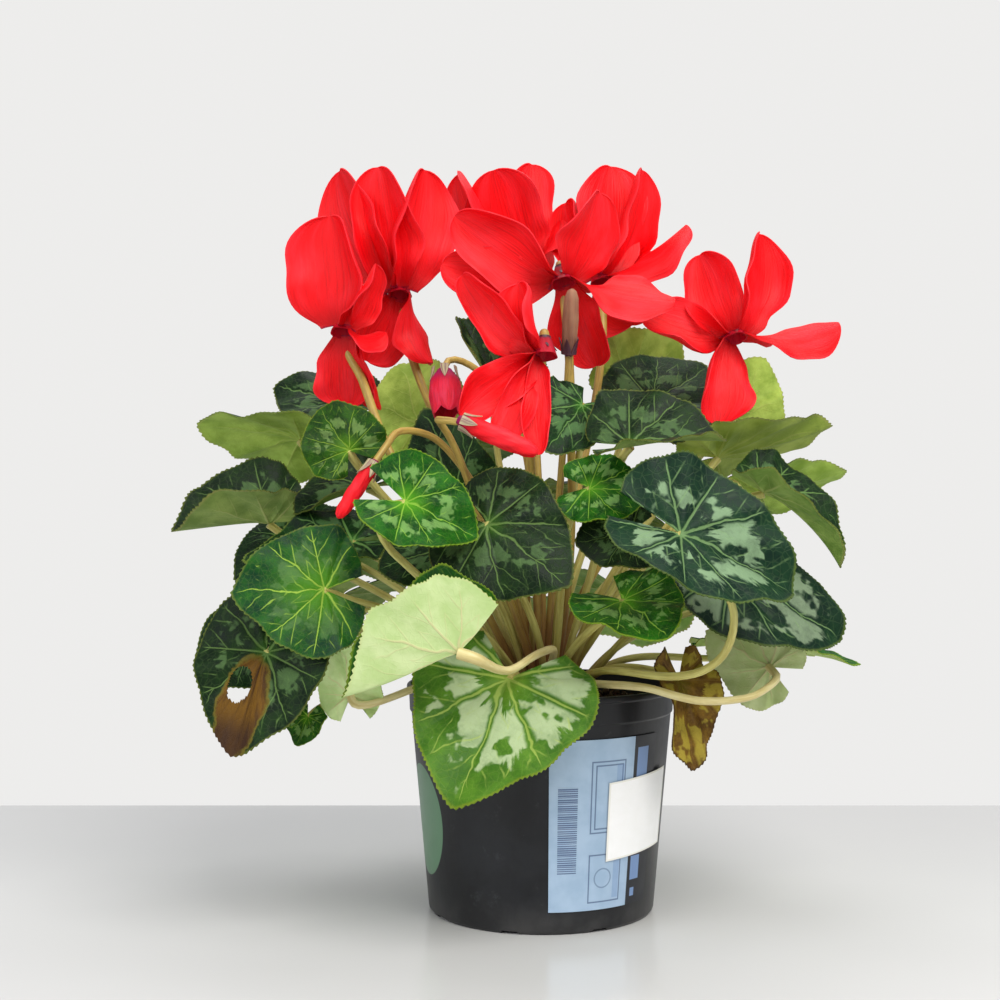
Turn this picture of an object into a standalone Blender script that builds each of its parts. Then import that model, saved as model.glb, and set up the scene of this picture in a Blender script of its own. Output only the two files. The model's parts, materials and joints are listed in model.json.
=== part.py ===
"""Potted cyclamen: a plastic nursery pot, soil, a tuber, and the leaves, flowers and buds that grow from it.

The origin is the middle of the pot's base, +Z is up and -Y is the front.
Tables are in millimetres and degrees; meshes are made in metres.
"""

import math
from collections import namedtuple

import bmesh
import bpy
import numpy as np
from mathutils import Vector
from mathutils.kdtree import KDTree

MM = 0.001
GAP = 0.35  # clearance between pieces that touch

# Pot
POT_HEIGHT = 90.0
POT_RIM_RADIUS = 54.0
POT_BASE_RADIUS = 45.0
POT_WALL = 1.0
RIM_LIP = 2.2
RIM_INSET = 1.2  # from the rim's edge in to the wall under it
STEP_DROP = 11.0
STEP_DEPTH = 0.7
POT_FLOOR = 1.4
POT_SIDES = 40
NOTCH_COUNT = 8
NOTCH_SIZE = (9.0, 7.0, 2.4)
DRAIN_COUNT = 5
DRAIN_RADIUS = 3.2
DRAIN_RING = 24.0

# Soil and tuber
SOIL_TOP = 81.0
BOWL_GAP = 0.5
BOWL_STEPS = 6
TUBER_RADIUS = 22.0
TUBER_HALF_HEIGHT = 13.0
TUBER_CENTRE = 80.0
TUBER_SIDES = 28
TUBER_STEPS = 10

# Labels on the pot wall: name, middle azimuth, half width, low and high edge, rise, thickness, stand-off
LABELS = (
    ("print_panel", -60.5, 23.5, 9.0, 74.0, 0.0, 0.25, 0.35),
    ("price_sticker", -42.0, 16.5, 28.5, 58.5, 2.5, 0.25, 1.0),
)
LABEL_COLUMNS = 10

# Stalks
RING_RADII = (17.5, 12.0, 6.0)
RING_TILTS = (52.0, 27.0)
STALK_SPACING = 3.7
STALK_RADIUS = 1.38
STALK_TIP_RADIUS = 1.2
FLOWER_STEM_RADIUS = 1.7
STALK_STEPS = 15
CROOK_RADIUS = 3.6
CROOK_STEPS = 8
UNTANGLE_ROUNDS = 160
UNTANGLE_STEP = 0.8
UNTANGLE_EASE = 0.3
GENTLE_TURN = math.cos(math.radians(25))
CLEAR_OF_STALK = 3.9
CLEAR_OF_BLADE = 3.4

# Blades and petals
BLADE_THICKNESS = 0.6
BLADE_COLUMNS = 12
BLADE_ROWS = 2
PETAL_THICKNESS = 0.6
PETAL_ROWS = 7
# Outline of a blade: angle from the tip in degrees, and distance from the hub over the blade's length
OUTLINE = ((0, 1.0), (10, 0.95), (30, 0.86), (60, 0.8), (90, 0.78), (120, 0.78), (150, 0.76), (168, 0.66),
           (180, 0.5))

UPRIGHT = (0, 0, 0)
Leaf = namedtuple("Leaf", "name hub tip face width lobes gap fold roll curl ruffle sway via tone")
Flower = namedtuple("Flower", "name centre mouth sway via petals")
Bud = namedtuple("Bud", "name calyx tip thick sway via tone")


def leaf(name, hub, tip, face, width=100, lobes=90, gap=12, fold=0, roll=0, curl=20, ruffle=1.5,
         sway=UPRIGHT, via=(), tone="dark"):
    """hub is where the stalk meets the blade and face is the way the upper side looks.
    width and lobes are percentages, fold and roll bend the blade across its midrib and curl bends it along.
    sway moves the middle of the stalk, and via lists points on a stalk that takes its own way."""
    return Leaf(name, hub, tip, face, width, lobes, gap, fold, roll, curl, ruffle, sway, via, tone)


LEAVES = (
    # Low at the front, hanging over the rim
    leaf("leaf_apron", (-13, -65, 99), (-32, -87, 57), (-2, -10, 4), 86, 44, 30, 5, curl=-6, tone="fresh",
         via=((-8, -40, 95), (-10, -54, 98))),
    leaf("leaf_flipped", (-31, -94, 112), (-70, -86, 92), (0, -1, 10), 92, 70, 24, 76, curl=-10, tone="pale",
         via=((4, -37, 106), (-3, -60, 107), (-14, -78, 103))),
    leaf("leaf_scorched", (-102, -62, 108), (-114, -72, 73), (-3, -10, 3), 86, 100, 12, 4, curl=10),
    leaf("leaf_tucked", (-72, -50, 91), (-76, -54, 115), (1, 10, -1), 62, 60, 30, tone="pale"),
    leaf("leaf_tiny", (-88, -50, 83), (-92, -54, 73), (-3, -10, 3), 90, 60, 20, 10, tone="fresh"),
    leaf("leaf_pale_right", (88, -26, 99), (64, -21, 112), (2, 10, 2), 86, 60, 18, curl=-8, tone="pale",
         via=((19, -40, 94), (37, -52, 94), (56, -59, 90), (78, -46, 90))),
    leaf("leaf_withered", (52, -35, 95), (58, -48, 63), (6, -9, 0), 56, 50, 20, 25, curl=18, ruffle=3,
         tone="brown"),
    # Left side
    leaf("leaf_round_left", (-80, -66, 131), (-112, -74, 132), (-1, -10, 4), 98, 66, 16, 0, curl=12),
    leaf("leaf_fold_left", (-73, -34, 148), (-116, -38, 142), (0, -5, 9), 60, 50, 16, 12, curl=8),
    leaf("leaf_shade_left", (-112, -20, 110), (-136, -26, 96), (-4, -10, 4), 90, 80, curl=10),
    leaf("leaf_left_wing", (-109, -4, 155), (-148, -10, 154), (0, -3, 9), 96, 50, 16, 50, curl=10),
    leaf("leaf_olive_left", (-99, 18, 189), (-140, 14, 199), (1, 4, 9), 94, 80, 14, -10, curl=16,
         tone="olive"),
    leaf("leaf_tip_left", (-86, 58, 206), (-118, 66, 219), (-1, -7, 8), 80, 80, curl=25),
    leaf("leaf_bright_left", (-73, -50, 182), (-85, -46, 199), (-1, -10, 4), 98, 56, 22, 8, curl=10,
         tone="fresh"),
    leaf("leaf_pale_edge", (-98, 26, 147), (-130, 20, 135), (-3, -8, 6), 88, 80, tone="olive"),
    leaf("leaf_mid_left", (-68, -18, 169), (-98, -26, 161), (0, -5, 9), 66, 50, 16, 36, curl=12),
    # Middle
    leaf("leaf_heart", (-50, -80, 163), (-24, -82, 152), (1, -10, 5), 84, 88, 24, 16, curl=12, tone="fresh",
         via=((-22, -39, 112), (-44, -64, 134), (-59, -76, 151))),
    leaf("leaf_silver_left", (-36, -50, 147), (-62, -56, 139), (0, -9, 5), 80, 70, 16, -4, curl=12),
    leaf("leaf_centre", (-21, -72, 155), (7, -85, 135), (-1, -9, 4), 90, 70, 14, -6, curl=14),
    leaf("leaf_slate", (-34, -14, 168), (-47, -10, 200), (-1, -10, 3), 68, 70, 14, -8, curl=12),
    leaf("leaf_rolled", (-18, 18, 212), (-33, 20, 242), (6, -8, 3), 80, 60, 16, 30, -70, curl=10),
    leaf("leaf_top_mid", (15, -38, 200), (1, -55, 183), (3, -8, 7), 76, 30, 14, 6, curl=14),
    leaf("leaf_olive_centre", (-50, 30, 196), (-62, 46, 226), (1, 10, 3), 84, 70, curl=-14, tone="olive"),
    # Right side
    leaf("leaf_top_right", (31, -59, 184), (66, -57, 190), (0, -5, 9), 92, 60, 14, 32, curl=12,
         sway=(4, 12, 0)),
    leaf("leaf_under_right", (16, -62, 168), (38, -68, 166), (2, -9, 5), 84, 70, 18, curl=10, tone="fresh"),
    leaf("leaf_big_right", (47, -85, 152), (90, -84, 133), (-1, -8, 7), 78, 84, 16, 20, curl=12,
         tone="silver", via=((25, -40, 99), (48, -60, 99), (63, -71, 107), (65, -79, 128))),
    leaf("leaf_dark_right", (32, -56, 152), (11, -61, 148), (-2, -9, 3), 92, 60, 16, 8, curl=10),
    leaf("leaf_bright_low", (27, -76, 128), (41, -98, 118), (0, -7, 8), 94, 74, 18, 10, curl=10,
         tone="fresh"),
    leaf("leaf_low_right", (70, -38, 136), (118, -38, 114), (2, -8, 7), 68, 70, curl=16),
    leaf("leaf_rim_right", (86, 14, 104), (130, 8, 101), (0, 1, 10), 70, 80, curl=10, tone="fresh"),
    leaf("leaf_curled_right", (86, -26, 167), (123, -30, 147), (3, -3, 9), 66, 50, 16, 38, curl=30,
         via=((28, -12, 120), (52, -12, 152), (72, -15, 171))),
    leaf("leaf_olive_right", (70, -6, 181), (119, -3, 189), (0, 4, 9), 62, 50, 14, 6, curl=-14, tone="olive"),
    leaf("leaf_grey_right", (94, 36, 167), (131, 32, 174), (1, 5, 9), 70, 70, curl=-10, tone="olive"),
    leaf("leaf_dusk_right", (48, 24, 204), (72, 38, 222), (1, -8, 7), 100, 70, 14, 4, curl=12),
    leaf("leaf_olive_crest", (40, 58, 213), (62, 72, 234), (1, 9, 6), 100, 80, curl=18, tone="olive"),
    leaf("leaf_back_right", (84, 40, 199), (98, 49, 223), (4, 9, 5), 92, 80, curl=14, tone="olive"),
    # Behind
    leaf("leaf_back_1", (-86, 46, 122), (-116, 68, 104), (-5, 5, 9), 96, curl=24),
    leaf("leaf_back_2", (-56, 66, 150), (-76, 100, 134), (-3, 6, 9), 98, curl=26, tone="silver"),
    leaf("leaf_back_3", (-18, 74, 112), (-26, 110, 90), (-1, 6, 9), 98, curl=20),
    leaf("leaf_back_4", (0, 60, 168), (0, 98, 154), (1, 5, 10), 84, curl=26),
    leaf("leaf_back_5", (38, 74, 122), (52, 110, 100), (2, 6, 9), 98, curl=22, tone="silver"),
    leaf("leaf_back_6", (58, 62, 152), (78, 96, 134), (4, 5, 9), 86, curl=24),
    leaf("leaf_back_7", (90, 34, 126), (122, 50, 108), (5, 4, 9), 88, curl=22),
    leaf("leaf_back_8", (-32, 58, 188), (-44, 90, 178), (-1, 4, 10), 96, curl=26),
)

# A flower's centre is the middle of its mouth. Each petal: tip from there, width, and twist about its length
FLOWERS = (
    Flower("flower_far_left", (-78, -18, 230), (-1, -3, -6), UPRIGHT, (
        (-30, -24, 135), (-57, -30, 178), (-72, -16, 214)), (
        ((-5, -6, 44), 31, 0), ((13, -8, 25), 17, 40), ((17, -3, -1), 17, 60),
        ((1, 10, -29), 21, 0), ((13, 14, -30), 16, 20), )),
    Flower("flower_left", (-57, 0, 247), (0, -3, -6), UPRIGHT, (), (
        ((-26, 4, 50), 26, -10), ((-8, -8, 49), 24, 0), ((11, -4, 49), 27, 10),
        ((-14, 8, -27), 22, 20), ((14, -4, -28), 21, 60), )),
    Flower("flower_back", (-5, 36, 262), (0, -3, -6), UPRIGHT, (), (
        ((-29, 6, 42), 29, -10), ((-14, -10, 40), 28, 0), ((2, 8, 46), 20, 15),
        ((12, 11, 26), 21, 20), ((-26, -6, 8), 22, 70), )),
    Flower("flower_star", (8, -22, 249), (1, -4, -8), UPRIGHT, (), (
        ((-42, -6, 24), 22, 50), ((-47, -2, 6), 18, 64), ((14, -2, 34), 24, 0),
        ((43, -8, -8), 20, 68), ((14, 12, -32), 20, 10), )),
    Flower("flower_back_right", (26, 30, 256), (1, -3, -6), UPRIGHT, (), (
        ((4, 4, 49), 26, 0), ((17, 0, 47), 26, 15), ((35, -4, 24), 25, 45),
        ((14, 10, -18), 24, 10), ((-14, 6, 34), 22, 0), )),
    Flower("flower_low", (0, -53, 218), (0, -2, -6), UPRIGHT, (
        (-3, -16, 150), (-5, -22, 190), (-4, -37, 210)), (
        ((-10, 2, 26), 21, 10), ((-30, 8, 30), 17, 50), ((-31, -8, -24), 17, 70),
        ((-17, -12, -35), 15, 80), ((-2, -12, -38), 15, 80), )),
    Flower("flower_right", (77, -8, 229), (1, -3, -6), UPRIGHT, (), (
        ((-14, 4, 33), 21, 0), ((11, 2, 41), 25, 0), ((41, -4, 4), 19, 75),
        ((-37, -2, 8), 19, 75), ((-8, -8, -36), 20, 50), )),
)

BUDS = (
    Bud("bud_left", (-63, -62, 176), (-75, -68, 157), 6.0, UPRIGHT,
        ((-20, -22, 156), (-40, -34, 186), (-57, -54, 188)), "red"),
    Bud("bud_middle", (-29, -76, 191), (-3, -78, 180), 7.5, UPRIGHT,
        ((-18, -32, 140), (-32, -50, 180), (-39, -67, 193)), "red"),
    Bud("bud_opening", (-38, -26, 213), (-37, -34, 195), 11.0, (18, 0, 4), (), "magenta"),
    Bud("bud_upright", (10, -30, 221), (11, -36, 244), 6.5, UPRIGHT, (), "faded"),
)
CUP_LENGTH = 7.0
CUP_BASE_RADIUS = 2.8
CUP_MOUTH_RADIUS = 4.6

COLOURS = {
    "pot": ((0.012, 0.013, 0.015), 0.35),
    "soil": ((0.045, 0.028, 0.017), 0.95),
    "tuber": ((0.16, 0.085, 0.045), 0.8),
    "print_panel": ((0.36, 0.52, 0.68), 0.4),
    "price_sticker": ((0.88, 0.88, 0.87), 0.5),
    "dark": ((0.025, 0.085, 0.04), 0.45),
    "silver": ((0.12, 0.2, 0.12), 0.45),
    "fresh": ((0.06, 0.2, 0.03), 0.45),
    "olive": ((0.17, 0.22, 0.05), 0.5),
    "pale": ((0.5, 0.62, 0.3), 0.5),
    "brown": ((0.15, 0.08, 0.03), 0.8),
    "petal": ((0.9, 0.01, 0.02), 0.5),
    "red": ((0.75, 0.008, 0.02), 0.5),
    "magenta": ((0.45, 0.01, 0.12), 0.5),
    "faded": ((0.4, 0.24, 0.18), 0.6),
}


def unit(vector):
    vector = np.asarray(vector, float)
    return vector / np.linalg.norm(vector)


def clear_scene():
    for obj in list(bpy.data.objects):
        bpy.data.objects.remove(obj, do_unlink=True)


def material(name):
    if name in bpy.data.materials:
        return bpy.data.materials[name]
    colour, roughness = COLOURS[name]
    made = bpy.data.materials.new(name)
    made.use_nodes = True
    shader = made.node_tree.nodes["Principled BSDF"]
    shader.inputs["Base Color"].default_value = (*colour, 1.0)
    shader.inputs["Roughness"].default_value = roughness
    shader.inputs["Metallic"].default_value = 0.0
    made.diffuse_color = (*colour, 1.0)
    return made


def collection(name):
    made = bpy.data.collections.new(name)
    bpy.context.scene.collection.children.link(made)
    return made


def add_object(name, mesh, colour, where):
    """A new object whose mesh points are already in place."""
    obj = bpy.data.objects.new(name, mesh)
    if colour:
        mesh.materials.append(material(colour))
    where.objects.link(obj)
    return obj


def sheet_mesh(name, points):
    """An open sheet on a grid of rows and columns of points; points that coincide become one."""
    rows, columns = points.shape[:2]
    shape = bmesh.new()
    bmesh.ops.create_grid(shape, x_segments=columns - 1, y_segments=rows - 1, size=1.0)
    shape.verts.ensure_lookup_table()
    flat = points.reshape(-1, 3) * MM
    for vertex, place in zip(shape.verts, flat):
        vertex.co = place
    bmesh.ops.remove_doubles(shape, verts=shape.verts, dist=0.00002)
    mesh = bpy.data.meshes.new(name)
    shape.to_mesh(mesh)
    shape.free()
    return mesh


def thicken(obj, thickness):
    solid = obj.modifiers.new("Thickness", "SOLIDIFY")
    solid.thickness = thickness * MM
    solid.offset = 0.0
    solid.use_even_offset = False


def baked(obj, name):
    """The object's evaluated mesh, closed at its caps, in place of the object."""
    graph = bpy.context.evaluated_depsgraph_get()
    mesh = bpy.data.meshes.new_from_object(obj.evaluated_get(graph))
    mesh.name = name
    shape = bmesh.new()
    shape.from_mesh(mesh)
    bmesh.ops.remove_doubles(shape, verts=shape.verts, dist=0.00001)
    bmesh.ops.recalc_face_normals(shape, faces=shape.faces)
    shape.to_mesh(mesh)
    shape.free()
    made = bpy.data.objects.new(name, mesh)
    made.matrix_world = obj.matrix_world
    for owner in obj.users_collection:
        owner.objects.link(made)
    bpy.data.objects.remove(obj, do_unlink=True)
    return made


def joined(first, others, name):
    """One solid from several that overlap."""
    for other in others:
        union = first.modifiers.new("Join", "BOOLEAN")
        union.operation = "UNION"
        union.solver = "EXACT"
        union.use_self = True
        union.object = other
    made = baked(first, name)
    for other in others:
        bpy.data.objects.remove(other, do_unlink=True)
    for polygon in made.data.polygons:
        polygon.use_smooth = True
    return made


def tube(name, points, radii, where):
    """A closed tube along a path, six-sided."""
    data = bpy.data.curves.new(name, "CURVE")
    data.dimensions = "3D"
    data.bevel_depth = MM
    data.bevel_resolution = 1
    data.use_fill_caps = True
    spline = data.splines.new("POLY")
    spline.points.add(len(points) - 1)
    for knot, place, radius in zip(spline.points, points, radii):
        knot.co = (*(np.asarray(place) * MM), 1.0)
        knot.radius = radius
    obj = bpy.data.objects.new(name, data)
    where.objects.link(obj)
    return baked(obj, name)


# Turned pieces

def turned(name, profile, sides, colour, where):
    """A solid of revolution about Z from (radius, height) pairs that run down the outer side."""
    mesh = bpy.data.meshes.new(name)
    edges = [(i, i + 1) for i in range(len(profile) - 1)]
    mesh.from_pydata([(radius * MM, 0.0, height * MM) for radius, height in profile], edges, [])
    obj = add_object(name, mesh, colour, where)
    screw = obj.modifiers.new("Turn", "SCREW")
    screw.steps = sides
    screw.render_steps = sides
    screw.use_merge_vertices = True
    screw.merge_threshold = 0.00001
    return obj


def wall_radius(height):
    """Outer radius of the pot's wall below the step."""
    top = POT_RIM_RADIUS - RIM_INSET - STEP_DEPTH
    return POT_BASE_RADIUS + (top - POT_BASE_RADIUS) * height / (POT_HEIGHT - STEP_DROP)


def pot_profile():
    under_lip = POT_HEIGHT - RIM_LIP
    step = POT_HEIGHT - STEP_DROP
    inner_base = wall_radius(POT_FLOOR) - POT_WALL
    return (
        (0.0, POT_FLOOR),
        (inner_base - 0.8, POT_FLOOR),
        (inner_base, POT_FLOOR + 0.8),
        (wall_radius(step) - POT_WALL, step),
        (POT_RIM_RADIUS - RIM_INSET - POT_WALL, step + 1.0),
        (POT_RIM_RADIUS - 0.7 - POT_WALL, POT_HEIGHT - 0.2),
        (POT_RIM_RADIUS - 0.4 - POT_WALL, POT_HEIGHT),
        (POT_RIM_RADIUS - 0.5, POT_HEIGHT),
        (POT_RIM_RADIUS, POT_HEIGHT - 0.6),
        (POT_RIM_RADIUS, under_lip),
        (POT_RIM_RADIUS - 0.9, under_lip - 0.5),
        (POT_RIM_RADIUS - RIM_INSET, step + 0.6),
        (wall_radius(step), step),
        (wall_radius(1.2), 1.2),
        (POT_BASE_RADIUS - 0.8, 0.0),
        (0.0, 0.0),
    )


def cutter(name, shape, place, azimuth, where):
    mesh = bpy.data.meshes.new(name)
    shape.to_mesh(mesh)
    shape.free()
    obj = add_object(name, mesh, None, where)
    obj.location = [value * MM for value in place]
    obj.rotation_euler = (0.0, 0.0, azimuth)
    obj.hide_render = True
    obj.display_type = "WIRE"
    return obj


def build_pot(parts, cutters):
    obj = turned("pot", pot_profile(), POT_SIDES, "pot", parts)
    for index in range(NOTCH_COUNT):
        azimuth = 2 * math.pi * (index + 0.5) / NOTCH_COUNT + 0.1
        shape = bmesh.new()
        bmesh.ops.create_cube(shape, size=MM)
        bmesh.ops.scale(shape, vec=NOTCH_SIZE, verts=shape.verts)
        out = POT_BASE_RADIUS + 1.0
        place = (out * math.cos(azimuth), out * math.sin(azimuth), 0.0)
        cut = obj.modifiers.new("Notch", "BOOLEAN")
        cut.operation = "DIFFERENCE"
        cut.solver = "EXACT"
        cut.object = cutter(f"notch_cutter_{index}", shape, place, azimuth, cutters)
    for index in range(DRAIN_COUNT):
        azimuth = 2 * math.pi * (index + 0.25) / DRAIN_COUNT
        shape = bmesh.new()
        radius = DRAIN_RADIUS * MM
        bmesh.ops.create_cone(
            shape, cap_ends=True, segments=12, radius1=radius, radius2=radius, depth=6 * MM
        )
        place = (DRAIN_RING * math.cos(azimuth), DRAIN_RING * math.sin(azimuth), 0.0)
        cut = obj.modifiers.new("Drain hole", "BOOLEAN")
        cut.operation = "DIFFERENCE"
        cut.solver = "EXACT"
        cut.object = cutter(f"drain_cutter_{index}", shape, place, azimuth, cutters)
    return obj


def tuber_height(radius):
    """Height of the tuber's top surface at a radius."""
    share = min(1.0, radius / TUBER_RADIUS)
    return TUBER_CENTRE + TUBER_HALF_HEIGHT * math.sqrt(1.0 - share * share)


def build_tuber(parts):
    profile = []
    for index in range(TUBER_STEPS + 1):
        angle = math.pi * index / TUBER_STEPS
        radius = 0.0 if index in (0, TUBER_STEPS) else TUBER_RADIUS * math.sin(angle)
        profile.append((radius, TUBER_CENTRE + TUBER_HALF_HEIGHT * math.cos(angle)))
    return turned("tuber", profile, TUBER_SIDES, "tuber", parts)


def build_soil(parts):
    """A turned plug with a bowl for the tuber and a top that falls gently to the wall."""
    start = math.asin((SOIL_TOP - TUBER_CENTRE) / TUBER_HALF_HEIGHT)
    profile = []
    for index in range(BOWL_STEPS + 1):
        angle = -math.pi / 2 + (math.pi / 2 + start) * index / BOWL_STEPS
        radius = 0.0 if index == 0 else (TUBER_RADIUS + BOWL_GAP) * math.cos(angle)
        profile.append((radius, TUBER_CENTRE + (TUBER_HALF_HEIGHT + BOWL_GAP) * math.sin(angle)))
    outer = POT_RIM_RADIUS - RIM_INSET - POT_WALL - GAP
    step = POT_HEIGHT - STEP_DROP
    inner_base = wall_radius(POT_FLOOR) - POT_WALL
    profile += [
        (28.0, SOIL_TOP + 0.8),
        (35.0, SOIL_TOP + 0.2),
        (43.0, SOIL_TOP - 0.2),
        (outer - 2.5, SOIL_TOP - 0.6),
        (outer - 0.2, SOIL_TOP - 1.0),
        (wall_radius(step) - POT_WALL - GAP - 0.1, step - 0.8),
        (inner_base - GAP - 0.3, POT_FLOOR + 2.0),
        (inner_base - 1.6, POT_FLOOR + GAP),
        (0.0, POT_FLOOR + GAP),
    ]
    return turned("soil", profile, POT_SIDES, "soil", parts)


def build_label(label, parts):
    name, middle, half_width, low, high, rise, thickness, stand_off = label
    points = np.zeros((2, LABEL_COLUMNS + 1, 3))
    for row, level in enumerate((low, high)):
        for column in range(LABEL_COLUMNS + 1):
            share = 2 * column / LABEL_COLUMNS - 1
            height = level + rise * share / 2
            radius = wall_radius(height) + stand_off + thickness / 2
            azimuth = math.radians(middle) + share * half_width / wall_radius((low + high) / 2)
            points[row, column] = (radius * math.cos(azimuth), radius * math.sin(azimuth), height)
    obj = add_object(name, sheet_mesh(name, points), name, parts)
    thicken(obj, thickness)
    return obj


# Blades

def outline_radius(angle):
    """Distance from hub to margin over the blade's length, at an angle in radians from the tip."""
    return np.interp(np.degrees(np.abs(angle)), *np.array(OUTLINE, float).T)


def blade_frame(shape):
    """Hub, the way to the tip, the way across, and the way the upper side looks."""
    hub = np.array(shape.hub, float)
    along = unit(np.array(shape.tip, float) - hub)
    face = np.array(shape.face, float)
    face = unit(face - along * face.dot(along))
    return hub, along, np.cross(face, along), face


def blade_points(shape, turn, out):
    """Points of a blade: turn goes about the hub from -1 to 1, out is the share of the way to the margin."""
    hub, along, across, face = blade_frame(shape)
    length = np.linalg.norm(np.array(shape.tip, float) - hub)
    angle = turn * (math.pi - math.radians(shape.gap))
    reach = outline_radius(angle) * length * out
    ahead = reach * np.cos(angle)
    ahead = np.where(ahead < 0, ahead * shape.lobes / 100, ahead)
    side = reach * np.sin(angle) * shape.width / 100
    lift = shape.ruffle * out**2 * np.sin(5 * angle + 0.13 * shape.hub[0] + 0.07 * shape.hub[2])
    if shape.roll:
        bend = math.radians(shape.roll) / length
        lift = lift * np.cos(side * bend) - (1 - np.cos(side * bend)) / bend
        side = np.sin(side * bend) / bend
    fold = math.radians(shape.fold)
    soft = 0.08 * length
    lift = lift + math.sin(fold) * (np.sqrt(side**2 + soft**2) - soft)
    side = side * math.cos(fold)
    if shape.curl:
        bend = math.radians(shape.curl) / length
        turned_by = ahead * bend
        ahead = np.sin(turned_by) / bend + lift * np.sin(turned_by)
        lift = lift * np.cos(turned_by) - (1 - np.cos(turned_by)) / bend
    return hub + ahead[..., None] * along + side[..., None] * across + lift[..., None] * face


def blade_grid(shape, columns, rows):
    turn, out = np.meshgrid(np.linspace(-1, 1, columns + 1), np.linspace(0, 1, rows + 1))
    return blade_points(shape, turn, out)


# Stalks

def cup_base(shape):
    return np.array(shape.centre, float) - unit(shape.mouth) * (CUP_LENGTH - 1.5)


def crook(shape):
    """The end of a flower's stem, which comes up behind the cup and bends over into its base."""
    mouth = unit(shape.mouth)
    behind = unit(np.array((0, 1, 0)) - mouth * mouth[1])
    turn = np.linspace(math.pi, 0, CROOK_STEPS)[:, None]
    return cup_base(shape) + CROOK_RADIUS * (behind * (1 - np.cos(turn)) - mouth * np.sin(turn))


def stalk_ends():
    """Name, end point, arrival direction and end radius for every stalk and stem."""
    ends = []
    for shape in LEAVES:
        hub, along, _, face = blade_frame(shape)
        arrive = unit(face * 0.8 + along * 0.6)
        ends.append((shape.name, hub, arrive, STALK_TIP_RADIUS, shape.sway, shape.via))
    for shape in FLOWERS:
        foot = crook(shape)[0]
        ends.append((shape.name, foot, -unit(shape.mouth), FLOWER_STEM_RADIUS, shape.sway, shape.via))
    for shape in BUDS:
        calyx = np.array(shape.calyx, float)
        arrive = unit(unit(shape.tip - calyx) + (0, 0, 0.4))
        ends.append((shape.name, calyx, arrive, STALK_TIP_RADIUS, shape.sway, shape.via))
    return ends


def seat_azimuths(wanted, spacing):
    """Azimuths near those wanted, with at least the spacing between neighbours round a ring."""
    order = np.argsort(wanted)
    placed = np.array(wanted, float)[order]
    for _ in range(400):
        ahead = np.roll(placed, -1)
        ahead[-1] += 2 * math.pi
        short = np.clip(spacing - (ahead - placed), 0, None) / 2
        placed = placed - short + np.roll(short, 1)
    result = np.zeros(len(wanted))
    result[order] = placed
    return result


def stalk_seats(ends):
    """Where each stalk leaves the tuber's crown, and the way it leaves."""
    toward = [via[0] if via else end for _, end, _, _, _, via in ends]
    tilts = [math.degrees(math.atan2(math.hypot(x, y), z - TUBER_CENTRE)) for x, y, z in toward]
    rings = [0 if tilt > RING_TILTS[0] else 1 if tilt > RING_TILTS[1] else 2 for tilt in tilts]
    seats = [None] * len(ends)
    for ring, radius in enumerate(RING_RADII):
        members = [index for index, own in enumerate(rings) if own == ring]
        wanted = [math.atan2(toward[index][1], toward[index][0]) for index in members]
        for index, azimuth in zip(members, seat_azimuths(wanted, STALK_SPACING / radius)):
            height = tuber_height(radius)
            rise = (height - TUBER_CENTRE) / TUBER_HALF_HEIGHT**2
            outward = radius / TUBER_RADIUS**2
            normal = unit((outward * math.cos(azimuth), outward * math.sin(azimuth), rise))
            foot = np.array((radius * math.cos(azimuth), radius * math.sin(azimuth), height))
            seats[index] = (foot + normal * GAP, normal)
    return seats


def through(knots, steps):
    """Evenly spaced points along a smooth curve through the knots."""
    knots = np.array(knots, float)
    padded = np.vstack([2 * knots[0] - knots[1], knots, 2 * knots[-1] - knots[-2]])
    share = np.linspace(0, 1, 12, endpoint=False)[:, None]
    pieces = []
    for before, start, end, after in zip(padded, padded[1:], padded[2:], padded[3:]):
        pieces.append(0.5 * (
            2 * start + (end - before) * share + (2 * before - 5 * start + 4 * end - after) * share**2
            + (3 * start - before - 3 * end + after) * share**3
        ))
    curve = np.vstack([*pieces, knots[-1:]])
    run = np.concatenate([[0], np.cumsum(np.linalg.norm(np.diff(curve, axis=0), axis=1))])
    even = np.linspace(0, run[-1], steps)
    return np.stack([np.interp(even, run, curve[:, axis]) for axis in range(3)], axis=1)


def first_paths(ends, seats):
    """A smooth curve from each seat to its end."""
    share = np.linspace(0, 1, STALK_STEPS)[:, None]
    paths = []
    for (_, end, arrive, _, sway, via), (foot, leave) in zip(ends, seats):
        if via:
            paths.append(through([foot, foot + leave * 6, *via, end - arrive * 7, end], STALK_STEPS))
            continue
        span = np.linalg.norm(end - foot)
        first = foot + leave * span * 0.42
        last = end - arrive * span * 0.28
        paths.append(
            (1 - share) ** 3 * foot + 3 * share * (1 - share) ** 2 * first
            + 3 * share**2 * (1 - share) * last + share**3 * end
            + np.sin(math.pi * share) ** 2 * np.array(sway, float)
        )
    return np.array(paths)


def finer(paths, steps):
    """Each path with more points along its straight pieces."""
    old = np.linspace(0, 1, paths.shape[1])
    new = np.linspace(0, 1, steps)
    return np.stack(
        [np.stack([np.interp(new, old, path[:, axis]) for axis in range(3)], axis=1) for path in paths]
    )


def nearest_push(points, tree, owners, own, clear):
    """How far a point has to move to be clear of the nearest points of other owners."""
    push = np.zeros(3)
    for place, index, distance in tree.find_range(points, clear):
        if owners[index] == own or distance < 1e-6:
            continue
        away = (np.array(points) - place) / distance
        push += away * (clear - distance) * 0.5
    return push


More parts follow.
